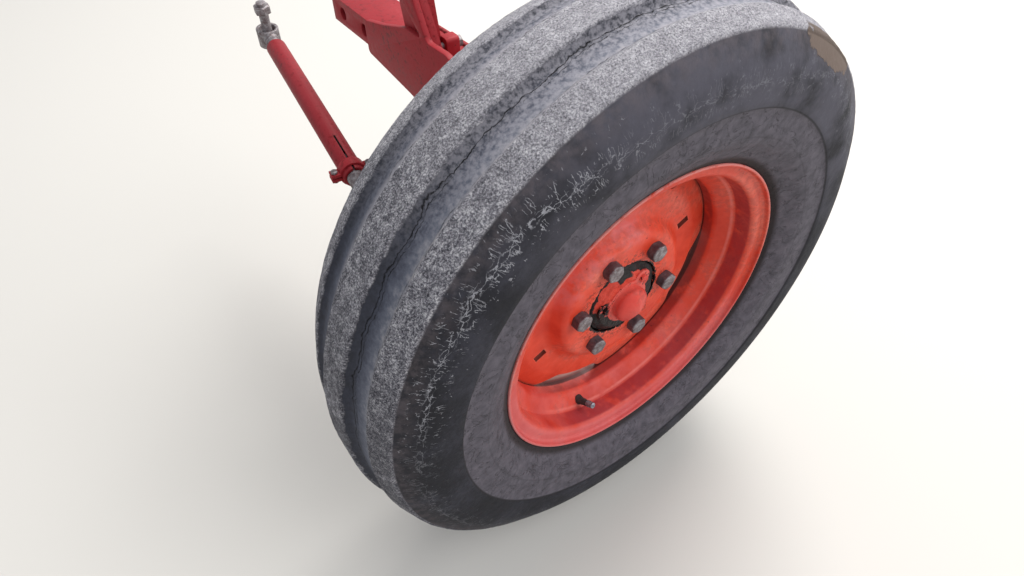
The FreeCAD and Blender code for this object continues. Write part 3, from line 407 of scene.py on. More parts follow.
# Painted shade darkens the torn ribs on their rear, lower side, and painted light brightens their grit on the
# side towards the sky
painted_rib_shade = product(tree, torn, facing(tree, way, RIB_SHADE_SIDE, 0.35, 0.7), over(tree, clouds, 0.4, 0.3))
pale = product(tree, torn, facing(tree, way, SKYWARD, 0.6, 0.5), over(tree, grit, 0.42, 0.3))
coat(tree, shader, (dust_and_sheen, "5F5D68", 0.5), (shoulder_dust, "6A6062", 0.35), (in_ring, ring, 1.0),
     (at_bead, "292325", 1.0), (lines, "1C1A1D", 0.7), (in_groove, groove, 1.0), (painted_groove_light, "9B989F", 0.6),
     (beside_rib, "B5AFB2", 0.75), (torn, torn_colour, 1.0), (painted_rib_shade, "2B2B33", 0.6), (pale, "C2BFC6", 0.5))

# Age cracks wander along the outer groove's floor, one open and others that come and go
sway = add(tree, "TexNoise", {"Vector": way, "Scale": 6.5, "Detail": 5.0, "Roughness": 0.6})
jag = add(tree, "TexNoise", {"Vector": way, "Scale": 70.0, "Detail": 5.0, "Roughness": 0.75})
gape = add(tree, "MapRange", {"Value": grain(tree, place, 9.0, 4.0, 0.7), "From Min": 0.3, "From Max": 0.7,
                              "To Min": 0.6, "To Max": -0.4})
cracks = []
for middle, reach, width in CRACKS:
    line = add(tree, "MapRange", {"Value": sway, "To Min": middle - reach / 2, "To Max": middle + reach / 2})
    line = add(tree, "Math", {0: jag, 1: CRACK_JAG, 2: line}, operation="MULTIPLY_ADD")
    gap = add(tree, "Math", {0: inboard, 1: line}, operation="SUBTRACT")
    gap = add(tree, "Math", {0: gap, 1: CRACK_JAG / 2}, operation="ADD")
    gap = add(tree, "Math", {0: gap}, operation="ABSOLUTE")
    gap = add(tree, "Math", {0: gap, 1: gape}, operation="ADD")
    cracks.append(under(tree, gap, width / 2, width))
fine_cracks = product(tree, any_of(tree, *cracks[1:]), over(tree, clouds, 0.47, 0.06))
crack = product(tree, any_of(tree, cracks[0], fine_cracks), on_tread)
splits = product(tree, within(tree, grain(tree, place, 34.0, 5.0, 0.6, 0.8), 0.495, 0.505, 0.01), in_ring)

# Scuffs: pale hairlines tangled in an arc where the wall rubs in ruts, with strokes that cross it
drift = add(tree, "TexNoise", {"Vector": way, "Scale": 5.0, "Detail": 5.0, "Roughness": 0.65})
arc_line = add(tree, "MapRange", {"Value": drift, "To Min": SCUFF_RADIUS - SCUFF_SWAY,
                                  "To Max": SCUFF_RADIUS + SCUFF_SWAY})
up = add(tree, "SeparateXYZ", {0: way}, out="Z")
drop = add(tree, "MapRange", {"Value": up, "From Min": 0.80, "From Max": 0.96, "To Max": SCUFF_DROP})
arc_line = add(tree, "Math", {0: arc_line, 1: drop}, operation="SUBTRACT")
arc_gap = add(tree, "Math", {0: radius, 1: arc_line}, operation="SUBTRACT")
arc_gap = add(tree, "Math", {0: arc_gap}, operation="ABSOLUTE")
towards = add(tree, "VectorMath", {0: way, 1: SCUFF_TOWARDS}, out="Value", operation="DOT_PRODUCT")
stretch = add(tree, "MapRange", {"Value": towards, "From Min": 0.80, "From Max": 0.95, "To Min": 0.3})
bend = add(tree, "TexNoise", {"Vector": place, "Scale": 70.0, "Detail": 4.0, "Roughness": 0.65}, out="Color")
bend = add(tree, "VectorMath", {0: bend, 1: (0.5, 0.5, 0.5)}, operation="SUBTRACT")
on_arc = {0: way, 1: (SCUFF_REACH, 0, SCUFF_REACH), 2: add(tree, "CombineXYZ", {"Y": radius})}
on_arc = add(tree, "VectorMath", on_arc, operation="MULTIPLY_ADD")
scuffs = 0.0
for squeeze, cell, width, band, patch, limit, bow in SCUFFS:
    bent = add(tree, "VectorMath", {0: bend, 1: (bow, bow, bow), 2: on_arc}, operation="MULTIPLY_ADD")
    bent = add(tree, "VectorMath", {0: bent, 1: squeeze}, operation="MULTIPLY")
    hairs = add(tree, "TexVoronoi", {"Vector": bent, "Scale": 1 / cell}, out="Distance",
                feature="DISTANCE_TO_EDGE")
    hairs = product(tree, under(tree, hairs, width, width), under(tree, arc_gap, band, 6.0),
                    patches(tree, place, patch, limit, 0.05, 3.0), stretch)
    scuffs = any_of(tree, scuffs, hairs)
scuffs = product(tree, scuffs, within(tree, radius, RING_LINE + 4.0, 368.0, 4.0))

# Dried mud on the shoulder, as long as a hand
mud_along = add(tree, "VectorMath", {0: way, 1: MUD_ACROSS}, out="Value", operation="DOT_PRODUCT")
mud_out = add(tree, "MapRange", {"Value": radius, "From Min": MUD_RADIUS - MUD_HALF_WIDE,
                                 "From Max": MUD_RADIUS + MUD_HALF_WIDE, "To Min": -1.0}, clamp=False)
mud_gap = add(tree, "CombineXYZ", {"X": product(tree, mud_along, 1 / MUD_HALF_ANGLE), "Y": mud_out})
mud_gap = add(tree, "VectorMath", {0: mud_gap}, out="Value", operation="LENGTH")
mud_edge = add(tree, "MapRange", {"Value": dust, "To Min": -0.5, "To Max": 0.5})
mud_gap = add(tree, "Math", {0: mud_gap, 1: mud_edge}, operation="ADD")
mud = product(tree, under(tree, mud_gap, 1.0, 0.1), facing(tree, way, MUD_TOWARDS, 0.5, 0.1),
              under(tree, inboard, -75.0, 4.0))
coat(tree, shader, (crack, "131317", 1.0), (splits, "1E1D20", 0.6), (scuffs, "A6A6AC", 0.7),
     (mud, "665850", 1.0))
rough = add(tree, "MapRange", {"Value": dust, "To Min": 0.62, "To Max": 0.9})
tree.links.new(rough, shader.inputs["Roughness"])
shader.inputs["Specular IOR Level"].default_value = 0.3
relief(tree, shader, (dust, 0.9), (product(tree, grit, torn), 2.4), (product(tree, crack, -1.0), 2.0),
       (product(tree, splits, -1.0), 0.42), (mud, 0.8))

section = rounded_section(TYRE_SECTION)
divide(section, tyre_cell)
bmesh.ops.mirror(section, geom=section.verts[:] + section.edges[:], axis="Y", merge_dist=1e-5)
shape = spun(section, TYRE_TURN)
for vert in shape.verts:
    y, r = from_wheel(vert)
    on_centre = (CENTRE_RIB - abs(y)) / TORN_FADE
    on_shoulder = min((abs(y) - SHOULDER_RIB) / TORN_FADE, (r - SHOULDER_FOOT) / SHOULDER_FADE)
    share = min(1.0, max(on_centre, on_shoulder))
    if r > TREAD_FLOOR and share > 0:
        lumps = sum(depth * noise.noise(vert.co / (size * MM)) for size, depth in TORN_LUMPS)
        vert.co += vert.normal * (lumps - TORN_AWAY) * MM * share
piece("worn_tyre", shape, tyre_rubber, "wheel", "tyre_rubber", "tyre", sharp=60)

# Rim: a drop-centre rim rolled from 4 mm strip and butt welded, sprayed with orange-red enamel that
# has faded and chipped. It is rubbed pale round its lip. Ahead and below, painted shade darkens the
# seat, a painted highlight lines the seat's edge and the disc's painted shadow falls on the well's
# floor. Low down it is chalky and paler with painted sky reflection, and the lip's face is pink with
# it. Painted shade over dirt darkens the seam at the lobes and the well behind the disc.
RIM_SHEET = 4.0
RIM_TURN = 200
RIM_LINE = [(82.35, 221.5, 0), (69.85, 221.5, 9), (69.85, 202.8, 5), (42.5, 200.8, 6), (24.0, 182.0, 7)]
LIP_EDGE = 1.6
LOW_SIDE = (-0.3, 0, -0.95)
RIM_SHADE_SIDE = (0.8, 0, -0.6)
SEAT = (-68.0, -45.0)
LEDGE = (-42.5, -40.0)
WELL_FLOOR = (-21.5, 0.0)
LIP_FACE = (-90.0, -72.0)
LOBE_SEAM = (-6.8, -0.5)
BACK_LEDGE = (4.0, 30.0)


def enamel(name, deep, plain, faded, dirt, bare, gloss, shine=0.25):
    """Alkyd enamel sprayed over bare steel: deep and bleached patches, dust in the lows, chips, and
    edges rubbed down to a paler coat. Pieces mark their rubbed edges in the attribute "edge"."""
    material, tree, shader = new_material(name)
    place = add(tree, "TexCoord", {}, out="Object")
    wide = grain(tree, place, 80.0)
    fine = grain(tree, place, 8.0, 6.0, 0.7)
    base = add(tree, "ValToRGB", {0: wide}, ramp=[(0.34, deep), (0.5, plain), (0.68, faded)])
    tree.links.new(base, shader.inputs["Base Color"])
    dusty = product(tree, over(tree, fine, 0.5, 0.16), over(tree, wide, 0.5, 0.1))
    chipped = product(tree, patches(tree, place, 4.0, 0.71, 0.02, 3.0, 0.55), over(tree, wide, 0.5, 0.08))
    edge = add(tree, "Attribute", {}, out="Fac", attribute_name="edge")
    rubbed = product(tree, edge, over(tree, fine, 0.42, 0.14))
    coat(tree, shader, (dusty, dirt, 0.4), (rubbed, faded, 0.8), (chipped, bare, 1.0))
    rough = {"Value": fine, "From Min": 0.3, "From Max": 0.7, "To Min": gloss, "To Max": gloss + 0.2}
    tree.links.new(add(tree, "MapRange", rough), shader.inputs["Roughness"])
    shader.inputs["Specular IOR Level"].default_value = shine
    relief(tree, shader, (wide, 1.2), (fine, 0.08), (product(tree, chipped, -1.0), 0.3))
    return material, tree, shader


rim_enamel, tree, shader = enamel("faded_orange_enamel_on_rolled_strip",
                                  "BE3322", "D2442E", "D9614C", "9C4440", "6A2E24", 0.36)
place, way, radius, inboard = about_wheel(tree)
lip_dust = product(tree, over(tree, radius, 219.5, 2.0), patches(tree, place, 11.0, 0.4, 0.2, 5.0))
# Low down the enamel is chalky and paler with painted sky reflection, in patches
chalk_and_sky_reflection = product(tree, facing(tree, way, LOW_SIDE, 0.3, 0.7), patches(tree, place, 30.0, 0.46, 0.4))
# Painted sky reflection turns the lip's face pink low down
lip_sky_reflection = product(tree, within(tree, inboard, *LIP_FACE, 4.0), facing(tree, way, LOW_SIDE, 0.1, 0.5))
shade_side_patches = product(tree, facing(tree, way, RIM_SHADE_SIDE, 0.0, 0.5), patches(tree, place, 26.0, 0.36, 0.3))
# Painted shade: the seat is dark mauve ahead and below, in patches
film = product(tree, within(tree, inboard, *SEAT, 4.0), shade_side_patches)
# Painted highlight: a pale line along the seat's edge on that side
seat_edge_highlight = product(tree, within(tree, inboard, *LEDGE, 2.0), shade_side_patches)
# Painted shadow of the disc darkens the well's floor on that side
disc_shadow_on_well = product(tree, within(tree, inboard, *WELL_FLOOR, 5.0), shade_side_patches)
# Painted shade over dirt darkens the well's floor along the lobes' seam
seam_shade_and_dirt = product(tree, within(tree, inboard, *LOBE_SEAM, 2.0), under(tree, radius, 185.0, 2.0))
# Behind the disc the well is darkened with road dirt and painted shade
back_shade_and_dirt = over(tree, inboard, -4.0, 4.0)
road_dust = product(tree, within(tree, inboard, *BACK_LEDGE, 6.0), facing(tree, way, LOW_SIDE, 0.4, 0.4))
coat(tree, shader, (lip_dust, "D08C88", 0.7), (chalk_and_sky_reflection, "CC6E70", 0.3), (lip_sky_reflection, "C8727A", 0.32),
     (film, "832433", 0.62), (seat_edge_highlight, "E08278", 0.5), (disc_shadow_on_well, "6E1A20", 0.6),
     (seam_shade_and_dirt, "3A1210", 0.85), (back_shade_and_dirt, "451613", 0.85), (road_dust, "B98E84", 0.7))

outside = [(-y, r, rounding) for y, r, rounding in RIM_LINE] + RIM_LINE[::-1]
shape = spun(rounded_section(outside), RIM_TURN)
bmesh.ops.solidify(shape, geom=shape.faces[:], thickness=RIM_SHEET * MM)
lips = [edge for edge in shape.edges if edge.is_manifold and edge.calc_face_angle() > 1.0]
bmesh.ops.bevel(shape, geom=lips, offset=LIP_EDGE * MM, segments=3, profile=0.5, affect="EDGES",
                material=-1)
bmesh.ops.recalc_face_normals(shape, faces=shape.faces)
piece("rolled_rim", shape, rim_enamel, "wheel", "wheel_paint", "rim")

# Disc: pressed from 8 mm plate, dished, with four lobes that are welded into the rim's well and two
# slots beside it, and sprayed together with the rim. Grease creeps out over the edge of its bore.
# Its step is bleached and paler with painted sky glare on the sunny side, its back is brown with road
# dirt under painted shade, and painted shade darkens the insides of its slots.
DISC_PLATE = 8.0
DISC_TURN = 360
DISC_CELL = 4.0
DISC_LINE = [(-33.0, 58.0, 0), (-33.0, 99.0, 12), (-12.5, 113.0, 12), (-12.5, 150.0, 24), (-4.5, 178.0, 0)]
DIP_FROM = (-12.5, 150.0)
DISC_EDGE_RADIUS = 178.0
NOTCH_RADIUS = 152.0
LOBE_COUNT = 4
LOBE_ANGLE = 65.0
LOBE_PITCH = 90.0
LOBE_HALF_ANGLE = 27.0
LOBE_CORNER_ANGLE = 12.0
SLOT_RADIUS = 132.5
SLOT_LONG = 19.0
SLOT_WIDE = 12.0
SLOT_SHADE_MARGIN = 0.3
PLATE_EDGE = 1.3
GLARE_SIDE = (-0.45, 0, 0.89)


def at_angle(degrees):
    """The direction from the axle at an angle from +Z towards +X."""
    return Vector((math.sin(math.radians(degrees)), 0, math.cos(math.radians(degrees))))


def mark_edges(shape, faces):
    """Marks the corners of rounded edges for the enamel, which is rubbed there."""
    layer = shape.verts.layers.float.get("edge") or shape.verts.layers.float.new("edge")
    for face in faces:
        for vert in face.verts:
            vert[layer] = 1.0


def round_edges(shape, size, least_angle=50):
    """Rounds the sharp edges of a closed shape and marks them as rubbed."""
    shape.verts.layers.float.new("edge")
    sharp = [edge for edge in shape.edges
             if edge.is_manifold and edge.calc_face_angle() > math.radians(least_angle)]
    made = bmesh.ops.bevel(shape, geom=sharp, offset=size * MM, segments=2, profile=0.5,
                           affect="EDGES", clamp_overlap=True, material=-1)
    mark_edges(shape, made["faces"])
    bmesh.ops.recalc_face_normals(shape, faces=shape.faces)


disc_enamel, tree, shader = enamel("faded_orange_enamel_on_pressed_plate",
                                   "C83823", "DD4A31", "DF6C59", "A5473E", "5A241D", 0.34)
place, way, radius, inboard = about_wheel(tree)
ooze = add(tree, "MapRange", {"Value": grain(tree, place, 9.0, 5.0, 0.7), "To Min": 51.0, "To Max": 68.0})
greased = add(tree, "Math", {0: radius, 1: ooze}, operation="LESS_THAN")
streaks = product(tree, under(tree, radius, 75.0, 12.0), patches(tree, place, 5.0, 0.54, 0.05, 5.0, 0.75))
slot_out = at_angle(LOBE_ANGLE)
along, beside = (
    product(tree, radius, add(tree, "VectorMath", {0: way, 1: axis}, out="Value", operation="DOT_PRODUCT"))
    for axis in (slot_out, (slot_out.z, 0, -slot_out.x)))
along = add(tree, "Math", {0: along}, operation="ABSOLUTE")
# Painted shade darkens the slots' insides, a little past their edges
half_long, half_wide = SLOT_LONG / 2 + SLOT_SHADE_MARGIN, SLOT_WIDE / 2 + SLOT_SHADE_MARGIN
slot_shade = product(tree, within(tree, along, SLOT_RADIUS - half_long, SLOT_RADIUS + half_long, 0.3),
                  within(tree, beside, -half_wide, half_wide, 0.3), over(tree, inboard, -11.9, 0.8))
# Bleached paint with painted sky glare on the step's upper side
bleach_and_glare = product(tree, within(tree, radius, 88.0, 128.0, 30.0), facing(tree, way, GLARE_SIDE, 0.75, 0.3),
                 patches(tree, place, 22.0, 0.47, 0.3))
# The back is darkened with road dirt and painted shade
behind = over(tree, inboard, -4.5, 3.0)
coat(tree, shader, (bleach_and_glare, "C98087", 0.4), (streaks, "6B2A22", 0.7), (behind, "4A1D18", 0.8),
     (slot_shade, "33110D", 0.8), (greased, "150D0E", 1.0))

section = rounded_section(DISC_LINE)
divide(section, lambda y, r: DISC_CELL)
shape = spun(section, DISC_TURN)
for vert in shape.verts:
    y, r = from_wheel(vert)
    if r > DIP_FROM[1]:
        bearing = math.degrees(math.atan2(vert.co.x - WHEEL.x, vert.co.z - WHEEL.z))
        off = abs((bearing - LOBE_ANGLE + LOBE_PITCH / 2) % LOBE_PITCH - LOBE_PITCH / 2)
        cut = min(1.0, max(0.0, (off - LOBE_HALF_ANGLE) / LOBE_CORNER_ANGLE + 0.5))
        cut *= cut * (3 - 2 * cut) * (DISC_EDGE_RADIUS - NOTCH_RADIUS) / (DISC_EDGE_RADIUS - DIP_FROM[1])
        new_radius = DIP_FROM[1] + (r - DIP_FROM[1]) * (1 - cut)
        vert.co.x = WHEEL.x + (vert.co.x - WHEEL.x) * new_radius / r
        vert.co.z = WHEEL.z + (vert.co.z - WHEEL.z) * new_radius / r
        vert.co.y = WHEEL.y + (DIP_FROM[0] + (y - DIP_FROM[0]) * (1 - cut)) * MM
for turn in (LOBE_ANGLE, LOBE_ANGLE + 180):
    out = at_angle(turn)
    along = Vector((out.z, 0, -out.x))
    middle = WHEEL + out * SLOT_RADIUS * MM
    cuts = ((out, SLOT_LONG), (-out, SLOT_LONG), (along, SLOT_WIDE), (-along, SLOT_WIDE))
    for direction, size in cuts:
        near = [face for face in shape.faces
                if (face.calc_center_median() - middle).cross(Vector((0, 1, 0))).length < SLOT_LONG * MM]
        parts = list({edge for face in near for edge in face.edges})
        parts += list({vert for face in near for vert in face.verts})
        bmesh.ops.bisect_plane(shape, geom=parts + near, dist=1e-6,
                               plane_co=middle + direction * size / 2 * MM, plane_no=direction)
    inside = [face for face in shape.faces
              if abs((face.calc_center_median() - middle).dot(out)) < SLOT_LONG / 2 * MM
              and abs((face.calc_center_median() - middle).dot(along)) < SLOT_WIDE / 2 * MM]
    bmesh.ops.delete(shape, geom=inside, context="FACES")
bmesh.ops.recalc_face_normals(shape, faces=shape.faces)
bmesh.ops.solidify(shape, geom=shape.faces[:], thickness=DISC_PLATE * MM)
round_edges(shape, PLATE_EDGE)
piece("pressed_disc", shape, disc_enamel, "wheel", "wheel_paint", "wheel_disc")

# Wheel bolts: six forged M16 bolts with 24 mm heads, through the disc into the hub's flange. Their
# zinc has gone, so they are dull grey with brown specks, and years of spanners have rounded off
# the corners.
BOLT_COUNT = 6
BOLT_CIRCLE = 152.4
BOLT_PHASE = 35.3
BOLT_ACROSS = 24.0
BOLT_HIGH = 13.0
BOLT_SHANK = (8.0, 29.0)
BOLT_FOOT = -33.0
BOLT_CORNER = 3.0
BOLT_CROWN = 2.6
BOLT_DENTS = (6.0, 0.3)
BOLT_TWIST = 0.37
BOLT_SIDES = (-44.5, -20.0)


def mottled(name, grains, ramp, rough, metallic=0.0):
    """A bare material in the tones of one cloudy grain, which sets its roughness too."""
    material, tree, shader = new_material(name)
    tones = grain(tree, add(tree, "TexCoord", {}, out="Object"), *grains)
    tree.links.new(add(tree, "ValToRGB", {0: tones}, ramp=ramp), shader.inputs["Base Color"])
    rough = add(tree, "MapRange", {"Value": tones, "To Min": rough[0], "To Max": rough[1]})
    tree.links.new(rough, shader.inputs["Roughness"])
    shader.inputs["Metallic"].default_value = metallic
    return material, tree, shader, tones


bolt_steel, tree, shader, film = mottled(
    "forged_steel_with_brown_rust_film", (7.0, 5.0, 0.65),
    [(0.34, "544A4B"), (0.5, "797376"), (0.68, "9E9C9E")], (0.35, 0.7), 0.45)
speck = grain(tree, add(tree, "TexCoord", {}, out="Object"), 1.6, 4.0, 0.7)
inboard = about_wheel(tree)[-1]
coat(tree, shader, (within(tree, inboard, *BOLT_SIDES, 2.0), "453740", 0.7),
     (over(tree, speck, 0.58, 0.08), "6B3A2A", 0.6))
relief(tree, shader, (film, 0.5), (speck, 0.2))

shape = bmesh.new()
for index in range(BOLT_COUNT):
    turn = math.radians(BOLT_PHASE + index * 360 / BOLT_COUNT)
    head = bmesh.new()
    bmesh.ops.create_cone(head, cap_ends=True, segments=6, radius1=BOLT_ACROSS * MM / math.sqrt(3),
                          radius2=BOLT_ACROSS * MM / math.sqrt(3), depth=BOLT_HIGH * MM)
    upright = [edge for edge in head.edges if abs(edge.verts[0].co.z - edge.verts[1].co.z) > 1e-4]
    bmesh.ops.bevel(head, geom=upright, offset=BOLT_CORNER * MM, segments=4, profile=0.5,
                    affect="EDGES", material=-1)
    crown = [edge for edge in head.edges if all(vert.co.z > BOLT_HIGH * MM / 2 - 1e-5 for vert in edge.verts)]
    bmesh.ops.bevel(head, geom=crown, offset=BOLT_CROWN * MM, segments=4, profile=0.5,
                    affect="EDGES", material=-1)
    shank = Matrix.Translation((0, 0, -(BOLT_HIGH + BOLT_SHANK[1]) / 2 * MM))
    bmesh.ops.create_cone(head, cap_ends=True, segments=24, radius1=BOLT_SHANK[0] * MM,
                          radius2=BOLT_SHANK[0] * MM, depth=BOLT_SHANK[1] * MM, matrix=shank)
    stand = (Matrix.Translation(WHEEL) @ Matrix.Rotation(turn, 4, "Y")
             @ Matrix.Translation((0, (BOLT_FOOT - BOLT_HIGH / 2) * MM, BOLT_CIRCLE / 2 * MM))
             @ Matrix.Rotation(math.radians(90), 4, "X") @ Matrix.Rotation(index * BOLT_TWIST, 4, "Z"))
    bmesh.ops.transform(head, matrix=stand, verts=head.verts)
    for vert in head.verts:
        vert.co += noise.noise_vector(vert.co / (BOLT_DENTS[0] * MM)) * BOLT_DENTS[1] * MM
    one = bpy.data.meshes.new("bolt")
    head.to_mesh(one)
    head.free()
    shape.from_mesh(one)
    bpy.data.meshes.remove(one)
bmesh.ops.recalc_face_normals(shape, faces=shape.faces)
piece("worn_wheel_bolts", shape, bolt_steel, "wheel", "bolt_steel", "wheel_bolts", sharp=40)

# Hub: cast iron, machined only for its bearings and flange, and left bare. Grease that the cap lets
# out has packed with dirt into a black collar round the nose, with a damp shine on its lumps.
COLLAR_LINE = [(-25.5, 57.6, 0), (-30.5, 56.0, 4), (-36.5, 47.0, 4), (-39.6, 44.5, 2), (-39.6, 33.0, 0)]
COLLAR_TURN = 160
COLLAR_CELL = 1.6
COLLAR_LUMPS = ((11.0, 2.6), (4.0, 1.2))
COLLAR_LEAST = -1.2
COLLAR_FADE = (32.0, 4.0)
NOSE_PAINT = ((-12, 80, 42.0), (-56, 32, 53.0), (24, 18, 46.5))  # angle, spread, reach

greasy_iron, tree, shader, cake = mottled(
    "cast_iron_under_old_grease", (9.0, 6.0, 0.7),
    [(0.35, "0D0809"), (0.52, "160F10"), (0.7, "2C1C1D")], (0.25, 0.7))
shader.inputs["Specular IOR Level"].default_value = 0.3
sand = grain(tree, add(tree, "TexCoord", {}, out="Object"), 2.0, 3.0, 0.6)
# The nose's face, where it is free of grease, shows the paint of the cap
_, way, radius, inboard = about_wheel(tree)
blot = add(tree, "MapRange", {"Value": cake, "To Min": -4.0, "To Max": 4.0})
blot = add(tree, "Math", {0: radius, 1: blot}, operation="ADD")
painted = 0.0
for turn, spread, reach in NOSE_PAINT:
    sector = facing(tree, way, at_angle(turn), math.cos(math.radians(spread)), 0.03)
    painted = any_of(tree, painted, product(tree, sector, under(tree, blot, reach, 0.6)))
coat(tree, shader, (product(tree, painted, under(tree, inboard, -29.0, 1.0)), "CB4232", 1.0))
relief(tree, shader, (cake, 1.6), (sand, 0.4))
nodes["hub"].material_slots[0].material = greasy_iron

section = rounded_section(COLLAR_LINE)
divide(section, lambda y, r: COLLAR_CELL)
shape = spun(section, COLLAR_TURN)
for vert in shape.verts:
    y, r = from_wheel(vert)
    lumps = sum(depth * noise.noise(vert.co / (size * MM)) for size, depth in COLLAR_LUMPS)
    vert.co.y += max(COLLAR_LEAST, lumps) * MM * min(1.0, (r - COLLAR_FADE[0]) / COLLAR_FADE[1])
piece("packed_grease", shape, greasy_iron, "wheel", "greasy_iron", sharp=60)

# Hub cap: a dome drawn from 2 mm sheet on a three-eared plate, bolted to the hub's nose. Its paint
# has bleached to a pinkish red, and grease blackens the plate's rim and the ear behind.
CAP_PLATE_FACE = -40.8
CAP_FOOT = 28.0
CAP_SWELL = 1.18
GREASED_EAR = (-0.985, 0, -0.174)

cap_enamel, tree, shader = enamel("bleached_red_enamel_on_drawn_sheet",
                                  "C03C36", "D2463C", "D65F55", "8C3C38", "3A2220", 0.42)
place, way, radius, _ = about_wheel(tree)
smear = product(tree, over(tree, radius, 29.0, 6.0), patches(tree, place, 7.0, 0.58, 0.06, 5.0, 0.7))
greased_ear = product(tree, facing(tree, way, GREASED_EAR, 0.80, 0.1), over(tree, radius, 36.0, 4.0),
                      patches(tree, place, 6.0, 0.42, 0.06, 4.0, 0.7))
coat(tree, shader, (smear, "1D1415", 1.0), (greased_ear, "150E0F", 1.0))


def softened(name, material, size=1.0):
    """The frame's own shape of a node, merged, and with its sharp edges rounded."""
    shape = bmesh.new()
    shape.from_mesh(nodes[name].data)
    bmesh.ops.remove_doubles(shape, verts=shape.verts, dist=1e-5)
    bmesh.ops.dissolve_limit(shape, angle_limit=math.radians(0.6), verts=shape.verts, edges=shape.edges)
    bmesh.ops.recalc_face_normals(shape, faces=shape.faces)
    round_edges(shape, size)
    return piece("finished_" + name, shape, material, nodes[name]["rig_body"], slots[name], name)


cap = softened("hub_cap", cap_enamel, 0.7)
for vert in cap.data.vertices:
    y, r = from_wheel(vert)
    if y < CAP_PLATE_FACE and r < CAP_FOOT:
        vert.co.x = WHEEL.x + (vert.co.x - WHEEL.x) * CAP_SWELL
        vert.co.z = WHEEL.z + (vert.co.z - WHEEL.z) * CAP_SWELL
softened("cap_bolts", cap_enamel, 0.5)

# Valve: a snap-in stem of matt black rubber with a grey bloom, in the slope of the rim's well. Its
# dust cap is zinc plated, and dulled to a soft grey with a few bright grains.
VALVE_ANGLE = 199.0
VALVE_TILT = 26.0
VALVE_FOOT = (-33.4, 190.8)
VALVE_RUBBER = [  # radius, height, rounding
    (0.01, -6.0, 0), (5.7, -6.0, 0), (5.7, 0.0, 1), (8.2, 1.6, 1), (7.4, 4.0, 1), (5.6, 9.0, 4),
    (4.4, 21.5, 0.6), (0.01, 21.5, 0),
]
VALVE_CAP = [
    (0.01, 21.0, 0), (4.9, 21.0, 0.5), (5.1, 26.0, 0.5), (4.6, 27.5, 0.4), (4.6, 32.6, 1.4), (0.01, 34.0, 0),
]
VALVE_TURN = 40

moulded_rubber, tree, shader = new_material("moulded_rubber_with_bloom")
bloom = grain(tree, add(tree, "TexCoord", {}, out="Object"), 12.0, 5.0, 0.65)
base = add(tree, "ValToRGB", {0: bloom}, ramp=[(0.35, "1A1819"), (0.52, "292526"), (0.7, "423C3A")])
tree.links.new(base, shader.inputs["Base Color"])
shader.inputs["Roughness"].default_value = 0.68
relief(tree, shader, (bloom, 0.3))

zinc, tree, shader, tarnish = mottled(
    "dulled_zinc_plate", (5.0, 5.0, 0.65),
    [(0.35, "5B5D66"), (0.5, "7E8089"), (0.68, "A3A5AD")], (0.3, 0.62), 0.6)
relief(tree, shader, (tarnish, 0.3))


def turned(corners, steps, matrix):
    """Turns a section of (radius, height, rounding) about +Z and moves it by a matrix."""
    wire = rounded_section(corners)
    bmesh.ops.spin(wire, geom=wire.verts[:] + wire.edges[:], cent=(0, 0, 0), axis=(0, 0, 1),
                   angle=2 * math.pi, steps=steps, use_merge=True)
    bmesh.ops.remove_doubles(wire, verts=wire.verts, dist=1e-6)
    bmesh.ops.transform(wire, matrix=matrix, verts=wire.verts)
    bmesh.ops.recalc_face_normals(wire, faces=wire.faces)
    return wire


stand = (Matrix.Translation(WHEEL) @ Matrix.Rotation(math.radians(VALVE_ANGLE), 4, "Y")
         @ Matrix.Translation((0, VALVE_FOOT[0] * MM, VALVE_FOOT[1] * MM))
         @ Matrix.Rotation(math.radians(90 + VALVE_TILT), 4, "X"))
stem = turned(VALVE_RUBBER, VALVE_TURN, stand)
piece("valve_rubber", stem, moulded_rubber, "wheel", "moulded_rubber", "valve_stem")
piece("valve_dust_cap", turned(VALVE_CAP, VALVE_TURN, stand), zinc, "wheel", "bolt_steel")
nodes["hub_seal"].material_slots[0].material = moulded_rubber

# Knuckle, kingpin and steering arm: forged steel, sprayed a dull crimson that shows the forging's
# scale, and ground on the bearing seats to a bright grey under a trace of oil. The kingpin is
# clamped by a nut on top of the housing's washer.
crimson, _, _ = enamel("crimson_enamel_on_plate", "5A1014", "7A1218", "9A2930", "40201E", "301816", 0.42, 0.15)
forged_crimson, tree, shader = enamel("crimson_enamel_on_forging",
                                      "541114", "701318", "8A272D", "3E201C", "2E1A18", 0.5, 0.15)
scale = grain(tree, add(tree, "TexCoord", {}, out="Object"), 3.0, 4.0, 0.6)
relief(tree, shader, (scale, 0.8))

ground_steel, tree, shader, oil = mottled(
    "ground_bearing_steel", (20.0, 4.0, 0.6),
    [(0.35, "6C6760"), (0.5, "8B8985"), (0.68, "A6A5A3")], (0.22, 0.5), 0.85)
relief(tree, shader, (oil, 0.1))

softened("knuckle", forged_crimson, 2.0)
softened("steering_arm", forged_crimson, 3.0)
softened("kingpin_housing", crimson, 1.5)
for name in ("kingpin", "thrust_washer"):
    softened(name, ground_steel, 0.8)
for name in ("inner_bearing", "outer_bearing", "kingpin_bushes"):
    nodes[name].material_slots[0].material = ground_steel
for name in ("kingpin_washer", "kingpin_nut"):
    softened(name, bolt_steel, 0.8)

# Axle end: a box beam with a plate cheek on each side, a horn and post for the stay, and a lug with
# its bolt, all flame cut from plate, welded together and sprayed crimson.
softened("axle_beam", crimson, 2.0)
for name in ("rear_cheek", "front_cheek", "stay_post", "beam_lug"):
    softened(name, crimson, 1.2)
softened("lug_bolt", bolt_steel, 0.7)

